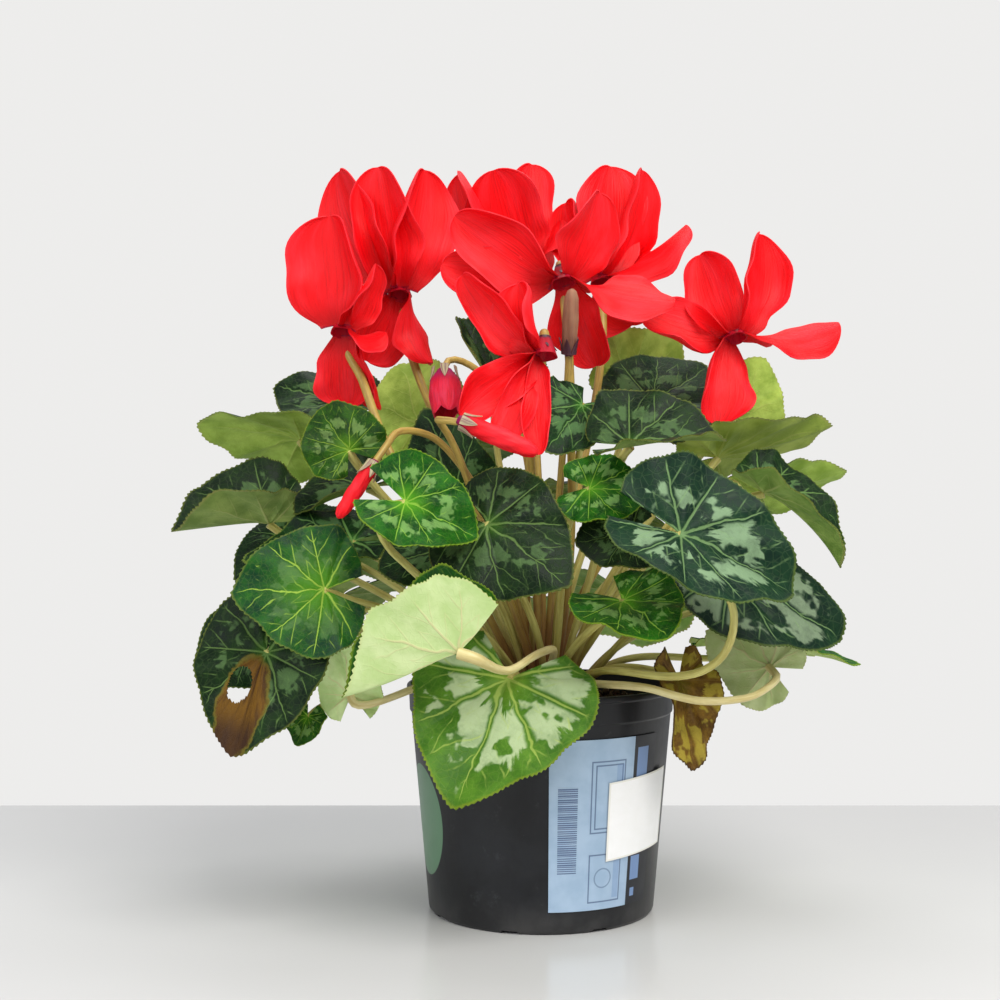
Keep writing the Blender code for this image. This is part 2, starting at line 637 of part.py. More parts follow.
def untangled(paths, names):
    """The paths after they have moved apart from each other and from the blades they would cross."""
    blade_tree_points = []
    blade_owner = []
    for shape in LEAVES:
        spots = blade_grid(shape, 22, 6)[1:].reshape(-1, 3)
        blade_tree_points.extend(spots)
        blade_owner.extend([names.index(shape.name)] * len(spots))
    blades = KDTree(len(blade_tree_points))
    for index, place in enumerate(blade_tree_points):
        blades.insert(Vector(place), index)
    blades.balance()
    count, steps = paths.shape[:2]
    free = np.ones(steps)
    free[[0, 1, -1]] = 0
    free[[2, -2]] = 0.5
    shift = np.zeros_like(paths)
    for _ in range(UNTANGLE_ROUNDS):
        now = paths + shift
        dense = finer(now, 3 * (steps - 1) + 1)
        tree = KDTree(count * dense.shape[1])
        owner = np.repeat(np.arange(count), dense.shape[1])
        for index, place in enumerate(dense.reshape(-1, 3)):
            tree.insert(Vector(place), index)
        tree.balance()
        moves = np.zeros_like(now)
        for own in range(count):
            for step in range(2, steps - 1):
                place = Vector(now[own, step])
                moves[own, step] = nearest_push(place, tree, owner, own, CLEAR_OF_STALK)
                moves[own, step] += nearest_push(place, blades, blade_owner, own, CLEAR_OF_BLADE)
        size = np.linalg.norm(moves, axis=2, keepdims=True)
        moves = moves * np.minimum(1.0, UNTANGLE_STEP / np.maximum(size, 1e-9))
        shift = shift + moves * free[None, :, None]
        middle = (shift[:, :-2] + shift[:, 2:]) / 2
        shift[:, 1:-1] += UNTANGLE_EASE * (middle - shift[:, 1:-1])
    return paths + shift


def stalk_paths():
    ends = stalk_ends()
    names = [end[0] for end in ends]
    paths = untangled(first_paths(ends, stalk_seats(ends)), names)
    radii = [end[3] for end in ends]
    return {name: (path, radius) for name, path, radius in zip(names, paths, radii)}


def stalk_tube(name, path, end_radius, where):
    """A stalk along its path, with half of the path's points where it bends gently."""
    turn = np.diff(path, axis=0)
    turn /= np.linalg.norm(turn, axis=1, keepdims=True)
    sharpest = np.sum(turn[1:] * turn[:-1], axis=1).min()
    if sharpest > GENTLE_TURN:
        path = path[::2]
    radii = np.linspace(STALK_RADIUS, end_radius, len(path))
    return tube(name, path, radii, where)


# Leaves, flowers and buds

def build_leaf(shape, path, end_radius, parts):
    points = blade_grid(shape, BLADE_COLUMNS, BLADE_ROWS)
    blade = add_object(shape.name + "_blade", sheet_mesh(shape.name, points), shape.tone, parts)
    thicken(blade, BLADE_THICKNESS)
    _, along, _, face = blade_frame(shape)
    path = path.copy()
    path[-1] += face * 0.5 + along * 0.7  # the stalk's end sinks into the blade
    stalk = stalk_tube(shape.name + "_stalk", path, end_radius, parts)
    return joined(blade, [stalk], shape.name)


def petal_points(shape, petal, rows):
    """A petal from the flower's mouth to its tip, widest past its middle."""
    tip, width, twist = petal
    mouth = unit(shape.mouth)
    centre = np.array(shape.centre, float)
    way = np.array(tip, float)
    sideways = unit(way - mouth * way.dot(mouth))
    start = centre + sideways * (CUP_MOUTH_RADIUS - 2.0)
    end = centre + way
    bow = start + mouth * 4.5 + way * 0.3
    level = np.cross(sideways, mouth)
    points = np.zeros((rows + 1, 3, 3))
    for row in range(rows + 1):
        share = row / rows
        middle = (1 - share) ** 2 * start + 2 * share * (1 - share) * bow + share**2 * end
        tangent = unit(2 * (1 - share) * (bow - start) + 2 * share * (end - bow))
        angle = math.radians(twist) * min(1.0, 1.7 * share)
        edge = level * math.cos(angle) + np.cross(tangent, level) * math.sin(angle)
        half = width / 2 * petal_width(share)
        points[row, 0] = middle - edge * half
        points[row, 1] = middle + np.cross(tangent, edge) * half * 0.16
        points[row, 2] = middle + edge * half
    return points


def petal_width(share):
    """A petal's width at a share of its length, over its greatest width."""
    return np.interp(share, (0.0, 0.2, 0.45, 0.7, 0.88, 1.0), (0.26, 0.52, 0.88, 1.0, 0.7, 0.12))


def build_flower(shape, path, end_radius, parts):
    mouth = unit(shape.mouth)
    ends = [cup_base(shape) - mouth, cup_base(shape) + mouth * CUP_LENGTH]
    cup = tube(shape.name + "_cup", ends, (CUP_BASE_RADIUS, CUP_MOUTH_RADIUS), parts)
    cup.data.materials.append(material("petal"))
    bend = crook(shape)
    bend[0] += mouth * 2
    pieces = [stalk_tube(shape.name + "_stem", path, end_radius, parts)]
    pieces.append(tube(shape.name + "_crook", bend, [end_radius] * CROOK_STEPS, parts))
    for index, petal in enumerate(shape.petals):
        name = f"{shape.name}_petal_{index}"
        mesh = sheet_mesh(name, petal_points(shape, petal, PETAL_ROWS))
        sheet = add_object(name, mesh, None, parts)
        thicken(sheet, PETAL_THICKNESS)
        pieces.append(baked(sheet, name))
    return joined(cup, pieces, shape.name)


def build_bud(shape, path, end_radius, parts):
    calyx = np.array(shape.calyx, float)
    tip = np.array(shape.tip, float)
    way = tip - calyx
    shares = (-0.12, 0.08, 0.3, 0.6, 0.9, 1.0)
    widths = (0.5, 0.8, 0.72, 0.8, 0.62, 0.3)
    points = [calyx + way * share for share in shares]
    body = tube(shape.name + "_body", points, [shape.thick / 2 * width for width in widths], parts)
    body.data.materials.append(material(shape.tone))
    stem = stalk_tube(shape.name + "_stem", path, end_radius, parts)
    return joined(body, [stem], shape.name)


def main():
    clear_scene()
    parts = collection("potted_cyclamen")
    cutters = collection("cutters")
    build_pot(parts, cutters)
    build_soil(parts)
    build_tuber(parts)
    for label in LABELS:
        build_label(label, parts)
    paths = stalk_paths()
    for shape in LEAVES:
        build_leaf(shape, *paths[shape.name], parts)
    for shape in FLOWERS:
        build_flower(shape, *paths[shape.name], parts)
    for shape in BUDS:
        build_bud(shape, *paths[shape.name], parts)


main()
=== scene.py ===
import json
import math
from collections import namedtuple

import bmesh
import bpy
import numpy as np
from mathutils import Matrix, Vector, noise
from mathutils.kdtree import KDTree


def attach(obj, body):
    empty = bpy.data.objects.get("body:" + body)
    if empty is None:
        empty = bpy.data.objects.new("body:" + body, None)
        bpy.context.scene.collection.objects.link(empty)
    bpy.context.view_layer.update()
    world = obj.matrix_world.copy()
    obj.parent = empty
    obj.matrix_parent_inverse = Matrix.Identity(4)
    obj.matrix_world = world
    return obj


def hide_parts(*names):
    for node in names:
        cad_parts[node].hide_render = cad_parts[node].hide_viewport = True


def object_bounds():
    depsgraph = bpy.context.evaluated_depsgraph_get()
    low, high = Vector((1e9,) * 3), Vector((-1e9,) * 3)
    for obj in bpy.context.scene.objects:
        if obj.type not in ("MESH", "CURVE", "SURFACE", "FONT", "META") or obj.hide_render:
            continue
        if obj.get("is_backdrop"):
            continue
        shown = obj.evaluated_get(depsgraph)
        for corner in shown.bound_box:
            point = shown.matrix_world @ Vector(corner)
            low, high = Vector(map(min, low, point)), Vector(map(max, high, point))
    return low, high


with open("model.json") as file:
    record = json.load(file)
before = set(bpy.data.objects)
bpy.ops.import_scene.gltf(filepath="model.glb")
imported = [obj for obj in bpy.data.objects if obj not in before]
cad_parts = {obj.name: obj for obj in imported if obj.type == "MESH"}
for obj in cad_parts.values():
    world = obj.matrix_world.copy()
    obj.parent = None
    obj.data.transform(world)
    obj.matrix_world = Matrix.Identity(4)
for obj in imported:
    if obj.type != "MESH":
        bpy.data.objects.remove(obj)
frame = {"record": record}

# The looks of a potted cyclamen: leaves, stalks, flowers and buds on a tuber, in a plastic nursery pot.
# Tables are in millimetres and degrees, and meshes are made in metres. +Z is up and -Y is the front.

MM = 0.001
GAP = 0.35  # between neighbouring solids
MERGE = 0.002  # points this close are one
CAD_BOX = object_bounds()

# Pot
POT_HEIGHT = 90.0
POT_RIM_RADIUS = 54.0
POT_BASE_RADIUS = 45.0
POT_WALL = 1.0
RIM_LIP = 2.2
RIM_INSET = 1.2  # from the rim's edge in to the wall under it
STEP_DROP = 11.0
STEP_DEPTH = 0.7
POT_FLOOR = 1.4
NOTCH_COUNT = 8
NOTCH_SIZE = (9.0, 7.0, 2.4)
NOTCH_TURN = math.pi / NOTCH_COUNT + 0.1
DRAIN_COUNT = 5
DRAIN_RADIUS = 3.2
DRAIN_RING = 24.0
DRAIN_TURN = 0.5 * math.pi / DRAIN_COUNT

# Soil and tuber
SOIL_TOP = 81.0
TUBER_RADIUS = 22.0
TUBER_HALF_HEIGHT = 13.0
TUBER_CENTRE = 80.0

# Labels on the pot wall: name, middle azimuth, half width, low and high edge, rise, thickness, stand-off
LABELS = (
    ("print_panel", -60.5, 23.5, 9.0, 74.0, 0.0, 0.25, 0.35),
    ("price_sticker", -42.0, 16.5, 28.5, 58.5, 2.5, 0.25, 1.0),
)

# Stalks
RING_RADII = (17.5, 12.0, 6.0)
RING_TILTS = (52.0, 27.0)
STALK_SPACING = 3.7
STALK_RADIUS = 1.38
STALK_TIP_RADIUS = 1.2
FLOWER_STEM_RADIUS = 1.7
STALK_STEPS = 15
CROOK_RADIUS = 3.6
CROOK_STEPS = 8
SEAT_ROUNDS = 400
SEAT_LEAD = 6.0  # how far a stalk with its own way keeps straight as it leaves its seat, and as it arrives
END_LEAD = 7.0
LEAVE_PULL = 0.42  # how far a plain stalk's curve is pulled straight at its seat and its end, over its span
ARRIVE_PULL = 0.28
UNTANGLE_ROUNDS = 160
UNTANGLE_STEP = 0.8
UNTANGLE_EASE = 0.3
CLEAR_OF_STALK = 3.9
CLEAR_OF_BLADE = 3.4

# Blades, flowers and buds
# Outline of a blade: angle from the tip in degrees, and distance from the hub over the blade's length
OUTLINE = ((0, 1.0), (10, 0.95), (30, 0.86), (60, 0.8), (90, 0.78), (120, 0.78), (150, 0.76), (168, 0.66),
           (180, 0.5))

NO_SWAY = (0, 0, 0)
Leaf = namedtuple("Leaf", "name hub tip face width lobes gap fold roll curl ruffle sway via tone")
Flower = namedtuple("Flower", "name centre mouth sway via petals")
Bud = namedtuple("Bud", "name calyx tip thick sway via tone")


def leaf(name, hub, tip, face, width=100, lobes=90, gap=12, fold=0, roll=0, curl=20, ruffle=1.5,
         sway=NO_SWAY, via=(), tone="dark"):
    """hub is where the stalk meets the blade and face is the way the upper side looks.
    width and lobes are percentages, fold and roll bend the blade across its midrib and curl bends it along.
    sway moves the middle of the stalk, and via lists points on a stalk that takes its own way."""
    return Leaf(name, hub, tip, face, width, lobes, gap, fold, roll, curl, ruffle, sway, via, tone)


LEAVES = (
    # Low at the front, hanging over the rim
    leaf("leaf_apron", (-13, -65, 99), (-32, -87, 57), (-2, -10, 4), 86, 44, 30, 5, curl=-6, tone="fresh",
         via=((-8, -40, 95), (-10, -54, 98))),
    leaf("leaf_flipped", (-31, -94, 112), (-70, -86, 92), (0, -1, 10), 92, 70, 24, 76, curl=-10, tone="pale",
         via=((4, -37, 106), (-3, -60, 107), (-14, -78, 103))),
    leaf("leaf_scorched", (-102, -62, 108), (-114, -72, 73), (-3, -10, 3), 86, 100, 12, 4, curl=10),
    leaf("leaf_tucked", (-72, -50, 91), (-76, -54, 115), (1, 10, -1), 62, 60, 30, tone="pale"),
    leaf("leaf_tiny", (-88, -50, 83), (-92, -54, 73), (-3, -10, 3), 90, 60, 20, 10, tone="fresh"),
    leaf("leaf_pale_right", (88, -26, 99), (64, -21, 112), (2, 10, 2), 86, 60, 18, curl=-8, tone="pale",
         via=((19, -40, 94), (37, -52, 94), (56, -59, 90), (78, -46, 90))),
    leaf("leaf_withered", (52, -35, 95), (58, -48, 63), (6, -9, 0), 56, 50, 20, 25, curl=18, ruffle=3,
         tone="brown"),
    # Left side
    leaf("leaf_round_left", (-80, -66, 131), (-112, -74, 132), (-1, -10, 4), 98, 66, 16, 0, curl=12),
    leaf("leaf_fold_left", (-73, -34, 148), (-116, -38, 142), (0, -5, 9), 60, 50, 16, 12, curl=8),
    leaf("leaf_shade_left", (-112, -20, 110), (-136, -26, 96), (-4, -10, 4), 90, 80, curl=10),
    leaf("leaf_left_wing", (-109, -4, 155), (-148, -10, 154), (0, -3, 9), 96, 50, 16, 50, curl=10),
    leaf("leaf_olive_left", (-99, 18, 189), (-140, 14, 199), (1, 4, 9), 94, 80, 14, -10, curl=16,
         tone="olive"),
    leaf("leaf_tip_left", (-86, 58, 206), (-118, 66, 219), (-1, -7, 8), 80, 80, curl=25),
    leaf("leaf_bright_left", (-73, -50, 182), (-85, -46, 199), (-1, -10, 4), 98, 56, 22, 8, curl=10,
         tone="fresh"),
    leaf("leaf_pale_edge", (-98, 26, 147), (-130, 20, 135), (-3, -8, 6), 88, 80, tone="olive"),
    leaf("leaf_mid_left", (-68, -18, 169), (-98, -26, 161), (0, -5, 9), 66, 50, 16, 36, curl=12),
    # Middle
    leaf("leaf_heart", (-50, -80, 163), (-24, -82, 152), (1, -10, 5), 84, 88, 24, 16, curl=12, tone="fresh",
         via=((-22, -39, 112), (-44, -64, 134), (-59, -76, 151))),
    leaf("leaf_silver_left", (-36, -50, 147), (-62, -56, 139), (0, -9, 5), 80, 70, 16, -4, curl=12),
    leaf("leaf_centre", (-21, -72, 155), (7, -85, 135), (-1, -9, 4), 90, 70, 14, -6, curl=14),
    leaf("leaf_slate", (-34, -14, 168), (-47, -10, 200), (-1, -10, 3), 68, 70, 14, -8, curl=12),
    leaf("leaf_rolled", (-18, 18, 212), (-33, 20, 242), (6, -8, 3), 80, 60, 16, 30, -70, curl=10),
    leaf("leaf_top_mid", (15, -38, 200), (1, -55, 183), (3, -8, 7), 76, 30, 14, 6, curl=14),
    leaf("leaf_olive_centre", (-50, 30, 196), (-62, 46, 226), (1, 10, 3), 84, 70, curl=-14, tone="olive"),
    # Right side
    leaf("leaf_top_right", (31, -59, 184), (66, -57, 190), (0, -5, 9), 92, 60, 14, 32, curl=12,
         sway=(4, 12, 0)),
    leaf("leaf_under_right", (16, -62, 168), (38, -68, 166), (2, -9, 5), 84, 70, 18, curl=10, tone="fresh"),
    leaf("leaf_big_right", (47, -85, 152), (90, -84, 133), (-1, -8, 7), 78, 84, 16, 20, curl=12,
         tone="silver", via=((25, -40, 99), (48, -60, 99), (63, -71, 107), (65, -79, 128))),
    leaf("leaf_dark_right", (32, -56, 152), (11, -61, 148), (-2, -9, 3), 92, 60, 16, 8, curl=10),
    leaf("leaf_bright_low", (27, -76, 128), (41, -98, 118), (0, -7, 8), 94, 74, 18, 10, curl=10,
         tone="fresh"),
    leaf("leaf_low_right", (70, -38, 136), (118, -38, 114), (2, -8, 7), 68, 70, curl=16),
    leaf("leaf_rim_right", (86, 14, 104), (130, 8, 101), (0, 1, 10), 70, 80, curl=10, tone="fresh"),
    leaf("leaf_curled_right", (86, -26, 167), (123, -30, 147), (3, -3, 9), 66, 50, 16, 38, curl=30,
         via=((28, -12, 120), (52, -12, 152), (72, -15, 171))),
    leaf("leaf_olive_right", (70, -6, 181), (119, -3, 189), (0, 4, 9), 62, 50, 14, 6, curl=-14,
         tone="olive"),
    leaf("leaf_grey_right", (94, 36, 167), (131, 32, 174), (1, 5, 9), 70, 70, curl=-10, tone="olive"),
    leaf("leaf_dusk_right", (48, 24, 204), (72, 38, 222), (1, -8, 7), 100, 70, 14, 4, curl=12),
    leaf("leaf_olive_crest", (40, 58, 213), (62, 72, 234), (1, 9, 6), 100, 80, curl=18, tone="olive"),
    leaf("leaf_back_right", (84, 40, 199), (98, 49, 223), (4, 9, 5), 92, 80, curl=14, tone="olive"),
    # Behind
    leaf("leaf_back_1", (-86, 46, 122), (-116, 68, 104), (-5, 5, 9), 96, curl=24),
    leaf("leaf_back_2", (-56, 66, 150), (-76, 100, 134), (-3, 6, 9), 98, curl=26, tone="silver"),
    leaf("leaf_back_3", (-18, 74, 112), (-26, 110, 90), (-1, 6, 9), 98, curl=20),
    leaf("leaf_back_4", (0, 60, 168), (0, 98, 154), (1, 5, 10), 84, curl=26),
    leaf("leaf_back_5", (38, 74, 122), (52, 110, 100), (2, 6, 9), 98, curl=22, tone="silver"),
    leaf("leaf_back_6", (58, 62, 152), (78, 96, 134), (4, 5, 9), 86, curl=24),
    leaf("leaf_back_7", (90, 34, 126), (122, 50, 108), (5, 4, 9), 88, curl=22),
    leaf("leaf_back_8", (-32, 58, 188), (-44, 90, 178), (-1, 4, 10), 96, curl=26),
)

# A flower's centre is the middle of its mouth. Each petal: tip from there, width, and twist about its length
FLOWERS = (
    Flower("flower_far_left", (-78, -18, 230), (-1, -3, -6), NO_SWAY, (
        (-30, -24, 135), (-57, -30, 178), (-72, -16, 214)), (
        ((-5, -6, 44), 31, 0), ((13, -8, 25), 17, 40), ((17, -3, -1), 17, 60),
        ((1, 10, -29), 21, 0), ((13, 14, -30), 16, 20), )),
    Flower("flower_left", (-57, 0, 247), (0, -3, -6), NO_SWAY, (), (
        ((-26, 4, 50), 26, -10), ((-8, -8, 49), 24, 0), ((11, -4, 49), 27, 10),
        ((-14, 8, -27), 22, 20), ((14, -4, -28), 21, 60), )),
    Flower("flower_back", (-5, 36, 262), (0, -3, -6), NO_SWAY, (), (
        ((-29, 6, 42), 29, -10), ((-14, -10, 40), 28, 0), ((2, 8, 46), 20, 15),
        ((12, 11, 26), 21, 20), ((-26, -6, 8), 22, 70), )),
    Flower("flower_star", (8, -22, 249), (1, -4, -8), NO_SWAY, (), (
        ((-42, -6, 24), 22, 50), ((-47, -2, 6), 18, 64), ((14, -2, 34), 24, 0),
        ((43, -8, -8), 20, 68), ((14, 12, -32), 20, 10), )),
    Flower("flower_back_right", (26, 30, 256), (1, -3, -6), NO_SWAY, (), (
        ((4, 4, 49), 26, 0), ((17, 0, 47), 26, 15), ((35, -4, 24), 25, 45),
        ((14, 10, -18), 24, 10), ((-14, 6, 34), 22, 0), )),
    Flower("flower_low", (0, -53, 218), (0, -2, -6), NO_SWAY, (
        (-3, -16, 150), (-5, -22, 190), (-4, -37, 210)), (
        ((-10, 2, 26), 21, 10), ((-30, 8, 30), 17, 50), ((-31, -8, -24), 17, 70),
        ((-17, -12, -35), 15, 80), ((-2, -12, -38), 15, 80), )),
    Flower("flower_right", (77, -8, 229), (1, -3, -6), NO_SWAY, (), (
        ((-14, 4, 33), 21, 0), ((11, 2, 41), 25, 0), ((41, -4, 4), 19, 75),
        ((-37, -2, 8), 19, 75), ((-8, -8, -36), 20, 50), )),
)

BUDS = (
    Bud("bud_left", (-63, -62, 176), (-75, -68, 157), 6.0, NO_SWAY,
        ((-20, -22, 156), (-40, -34, 186), (-57, -54, 188)), "red"),
    Bud("bud_middle", (-29, -76, 191), (-3, -78, 180), 7.5, NO_SWAY,
        ((-18, -32, 140), (-32, -50, 180), (-39, -67, 193)), "red"),
    Bud("bud_opening", (-38, -26, 213), (-37, -34, 195), 11.0, (18, 0, 4), (), "magenta"),
    Bud("bud_upright", (10, -30, 221), (11, -36, 244), 6.5, NO_SWAY, (), "faded"),
)
CUP_LENGTH = 7.0
CUP_MOUTH_RADIUS = 4.6
CUP_SIDES = 28
CUP_SCALLOP = 0.05
# A flower's cup, up its outside and down its inside: place along it and radius
CUP_PROFILE = (
    (-1.2, 1.4), (-0.6, 2.2), (0.6, 2.9), (3.0, 3.6), (CUP_LENGTH - 0.6, CUP_MOUTH_RADIUS),
    (CUP_LENGTH, CUP_MOUTH_RADIUS + 0.25), (CUP_LENGTH, CUP_MOUTH_RADIUS - 0.35),
    (3.0, 2.9), (1.2, 1.8), (0.9, 0.3),
)
# A closed bud: places along it over its length, and its radius there over its greatest
BUD_SWELL = ((-0.1, 0.0, 0.15, 0.5, 0.85, 0.97, 1.0), (0.4, 0.8, 0.86, 0.95, 0.8, 0.5, 0.15))
FURL_TURNS = {"red": 0.7, "faded": 0.1}  # turns that the petals wind about each other
# Sepals: length, width, distance from the axis, and how far they lean out
FLOWER_SEPALS = (5.6, 3.2, 2.6, 1.9)
BUD_SEPAL_SIZE = (6.4, 3.6)
SEPAL_COUNT = 5
SEPAL_SKIN = 0.35

# Finer shapes than the solids have. A blade's are shares of its length, unless they say otherwise
BLADE_SKIN = 0.45  # thickness in millimetres
BLADE_RINGS = (0, 0.05, 0.12, 0.2, 0.29, 0.38, 0.47, 0.56, 0.65, 0.74, 0.82, 0.89, 0.94, 0.975, 1.0)
TOOTH_PITCH = 2.3  # millimetres
TOOTH_SIZE = 0.72  # millimetres, and less on a blade that is shorter than the next
FULL_LENGTH = 40.0
FOLD_SOFTNESS = 0.08
MARGIN_LENGTH = 5.2
MARGIN_SWELL = 0.025
MARGIN_FRILL = 0.014
QUILT = 0.03
FUNNEL = 0.9  # depth in millimetres of the dip where the stalk joins
FUNNEL_REACH = 0.1
PETAL_SKIN = 0.4
PETAL_RINGS = 26
PETAL_LINES = 16
STALK_SIDES = 14
STALK_RINGS = 42

# Finish of each blade: its upper side and its under side
SIDES = {
    "dark": ("leaf_dark", "under_green"),
    "silver": ("leaf_silver", "under_green"),
    "fresh": ("leaf_fresh", "under_fresh"),
    # Olive blades show an under side painted lighter and yellower, as if lit through from behind.
    "olive": ("leaf_dark", "under_olive"),
    "pale": ("leaf_fresh", "under_pale"),
    "brown": ("leaf_brown", "under_brown"),
}
# Rings of points on a blade that has a hole, so that the hole's edge is fine
TORN_RINGS = 49
# A blade's see-through hole: its middle and half sizes over the blade's length, aside and ahead of the hub
HOLES = {"leaf_scorched": (-0.14, 0.36, 0.12, 0.18)}
# The withered patch round that hole, in the same terms
SCORCH_PLACE = (-0.05, 0.58, 0.26, 0.52)
# How a stalk broadens at its blade: by what share of its radius, and over what length
FLARE = (0.35, 3.0)
BROAD_FLARE = (0.8, 8.0)
BROADENED = ("leaf_flipped",)
STALK_BELLY = 0.16  # how much thicker a stalk is halfway along
VEIN_STEP = math.radians(40)  # between a blade's main veins
PETAL_FULLNESS = 1.3
FLAT_TWIST = 80  # degrees from which a petal keeps its own width
PETAL_HOLLOW = (55, 120)  # degrees that a petal turns through across its width, least and most
PETAL_EDGE_CURL = 90
PETAL_TWIST_SPREAD = 6
PETAL_RISE = 4.5  # how far a petal first follows the flower's axis, in millimetres
PETAL_SWAY = 0.03
PETAL_FRILL = 0.1
PETAL_CREASE = 0.05
# Waves along a petal's edges: size over its length, angle that they run through, and lead of one edge
PETAL_WAVES = ((0.055, 7, 1.4), (0.018, 19, 2.2))
STEM_FULLNESS = 1.1
CRUMBS = 420
CRUMB_SIZES = (0.5, 1.9)
CRUMB_FREE_RADIUS = 24.0  # the tuber stands inside it
RANDOM = np.random.default_rng(7)
# What sets one piece's markings apart from the next: the first seed, and the step to the next piece's
FLOWER_SEEDS = (11.0, 5.3)
BUD_SEEDS = (53.0, 4.1)
LEAF_SEED_STEP = 3.7
LEAF_AGE_STEP = 0.618
# Depth of the fine relief in a finish, in metres
LEAF_RELIEF = 0.0004
PETAL_RELIEF = 0.0008
STALK_RELIEF = 0.0004
SLANT = (0.31, 0.52, 0.8)  # a direction that no stalk or cup points along
CREASE = 35  # degrees from which a turned edge is drawn sharp

# Print on the pot: middles and half sizes across and up, in millimetres on the panel
BLUE_FIELD = (-6.4, 41.5, 17.1, 33.5)
BAR_BLOCK = (-16.5, 40.0, 3.7, 16.5)
RULED_FRAMES = ((-0.5, 52.0, 7.0, 13.5), (-0.5, 21.0, 7.0, 9.0), (-0.2, 52.0, 5.6, 12.0))
TINTED_BLOCKS = ((4.4, 52.0, 1.6, 12.0), (4.6, 21.0, 1.4, 8.0))
BLUE_PATCHES = ((15.5, 63.0, 3.0, 6.5), (15.0, 23.0, 2.6, 4.6), (14.2, 13.6, 1.2, 1.6))
DOT_RING = (-1.5, 21.0, 3.6)
STICKER_MIDDLE = 43.5
STICKER_HALF_WIDTH = 16.5
STICKER_HALF_HEIGHT = 15.0
STICKER_RIM = 0.7
SPOT_MIDDLE = -162.0
SPOT_HEIGHT = 38.0
SPOT_HALF_WIDTH = 15.0
SPOT_HALF_HEIGHT = 22.0

# Stage, in metres
TABLE_WIDTH = 3.6
TABLE_DEPTH = 2.4
TABLE_BACK = 0.211
TABLE_THICKNESS = 0.03
AMBIENT = 0.42
CAMERA_PLACE = (-0.0165, -0.64, 0.1635)
CAMERA_LENS = 57.1
LAMP_AIM = (0, 0, 0.16)
# Lamps: name, place, size, power in watts, colour
LAMPS = (
    ("key", (0.5, -1.0, 1.2), (1.1, 0.9), 22.0, (1.0, 0.98, 0.95)),
    ("fill", (-1.1, -1.0, 0.8), (1.0, 0.9), 7.5, (0.95, 0.97, 1.0)),
    ("top", (0.1, 0.5, 1.5), (1.2, 0.8), 9.0, (1.0, 1.0, 1.0)),
)


# Where blades and stalks run

def unit(vector):
    vector = np.asarray(vector, float)
    return vector / np.linalg.norm(vector)


def wall_radius(height):
    """Outer radius of the pot's wall below the step."""
    top = POT_RIM_RADIUS - RIM_INSET - STEP_DEPTH
    return POT_BASE_RADIUS + (top - POT_BASE_RADIUS) * height / (POT_HEIGHT - STEP_DROP)


def tuber_height(radius):
    """Height of the tuber's top surface at a radius."""
    share = min(1.0, radius / TUBER_RADIUS)
    return TUBER_CENTRE + TUBER_HALF_HEIGHT * math.sqrt(1.0 - share * share)


def outline_radius(angle):
    """Distance from hub to margin over the blade's length, at an angle in radians from the tip."""
    return np.interp(np.degrees(np.abs(angle)), *np.array(OUTLINE, float).T)


def blade_frame(shape):
    """Hub, the way to the tip, the way across, and the way the upper side looks."""
    hub = np.array(shape.hub, float)
    along = unit(np.array(shape.tip, float) - hub)
    face = np.array(shape.face, float)
    face = unit(face - along * face.dot(along))
    return hub, along, np.cross(face, along), face


def blade_length(shape):
    return np.linalg.norm(np.array(shape.tip, float) - shape.hub)


def blade_angle(shape, turn):
    """Angle from the tip, in radians, for a turn about the hub from -1 to 1."""
    return turn * (math.pi - math.radians(shape.gap))


def laid_flat(shape, angle, reach):
    """Places beside and ahead of the hub on a flat blade, its lobes shortened and its width taken in."""
    ahead = reach * np.cos(angle)
    ahead = np.where(ahead < 0, ahead * shape.lobes / 100, ahead)
    return reach * np.sin(angle) * shape.width / 100, ahead


def ruffled(shape, angle, out):
    """Height of the broad waves of a blade's margin."""
    return shape.ruffle * out**2 * np.sin(5 * angle + 0.13 * shape.hub[0] + 0.07 * shape.hub[2])


def bent(shape, side, ahead, lift):
    """Points of a flat blade, with their height over it, once it is rolled, folded and curled."""
    hub, along, across, face = blade_frame(shape)
    length = blade_length(shape)
    if shape.roll:
        bend = math.radians(shape.roll) / length
        lift = lift * np.cos(side * bend) - (1 - np.cos(side * bend)) / bend
        side = np.sin(side * bend) / bend
    fold = math.radians(shape.fold)
    soft = FOLD_SOFTNESS * length
    lift = lift + math.sin(fold) * (np.sqrt(side**2 + soft**2) - soft)
    side = side * math.cos(fold)
    if shape.curl:
        bend = math.radians(shape.curl) / length
        turned_by = ahead * bend
        ahead = np.sin(turned_by) / bend + lift * np.sin(turned_by)
        lift = lift * np.cos(turned_by) - (1 - np.cos(turned_by)) / bend
    return hub + ahead[..., None] * along + side[..., None] * across + lift[..., None] * face


def blade_points(shape, turn, out):
    """Points of a plain blade: turn goes about the hub, out is the share of the way to the margin."""
    angle = blade_angle(shape, turn)
    side, ahead = laid_flat(shape, angle, outline_radius(angle) * blade_length(shape) * out)
    return bent(shape, side, ahead, ruffled(shape, angle, out))


def blade_grid(shape, columns, rows):
    """Points all over a plain blade, in rows from its hub to its margin."""
    turn, out = np.meshgrid(np.linspace(-1, 1, columns + 1), np.linspace(0, 1, rows + 1))
    return blade_points(shape, turn, out)


def cup_base(shape):
    """Where a flower's stem meets its cup."""
    return np.array(shape.centre, float) - unit(shape.mouth) * (CUP_LENGTH - 1.5)


def crook(shape):
    """The end of a flower's stem, which comes up behind the cup and bends over into its base."""
    mouth = unit(shape.mouth)
    behind = unit(np.array((0, 1, 0)) - mouth * mouth[1])
    turn = np.linspace(math.pi, 0, CROOK_STEPS)[:, None]
    return cup_base(shape) + CROOK_RADIUS * (behind * (1 - np.cos(turn)) - mouth * np.sin(turn))


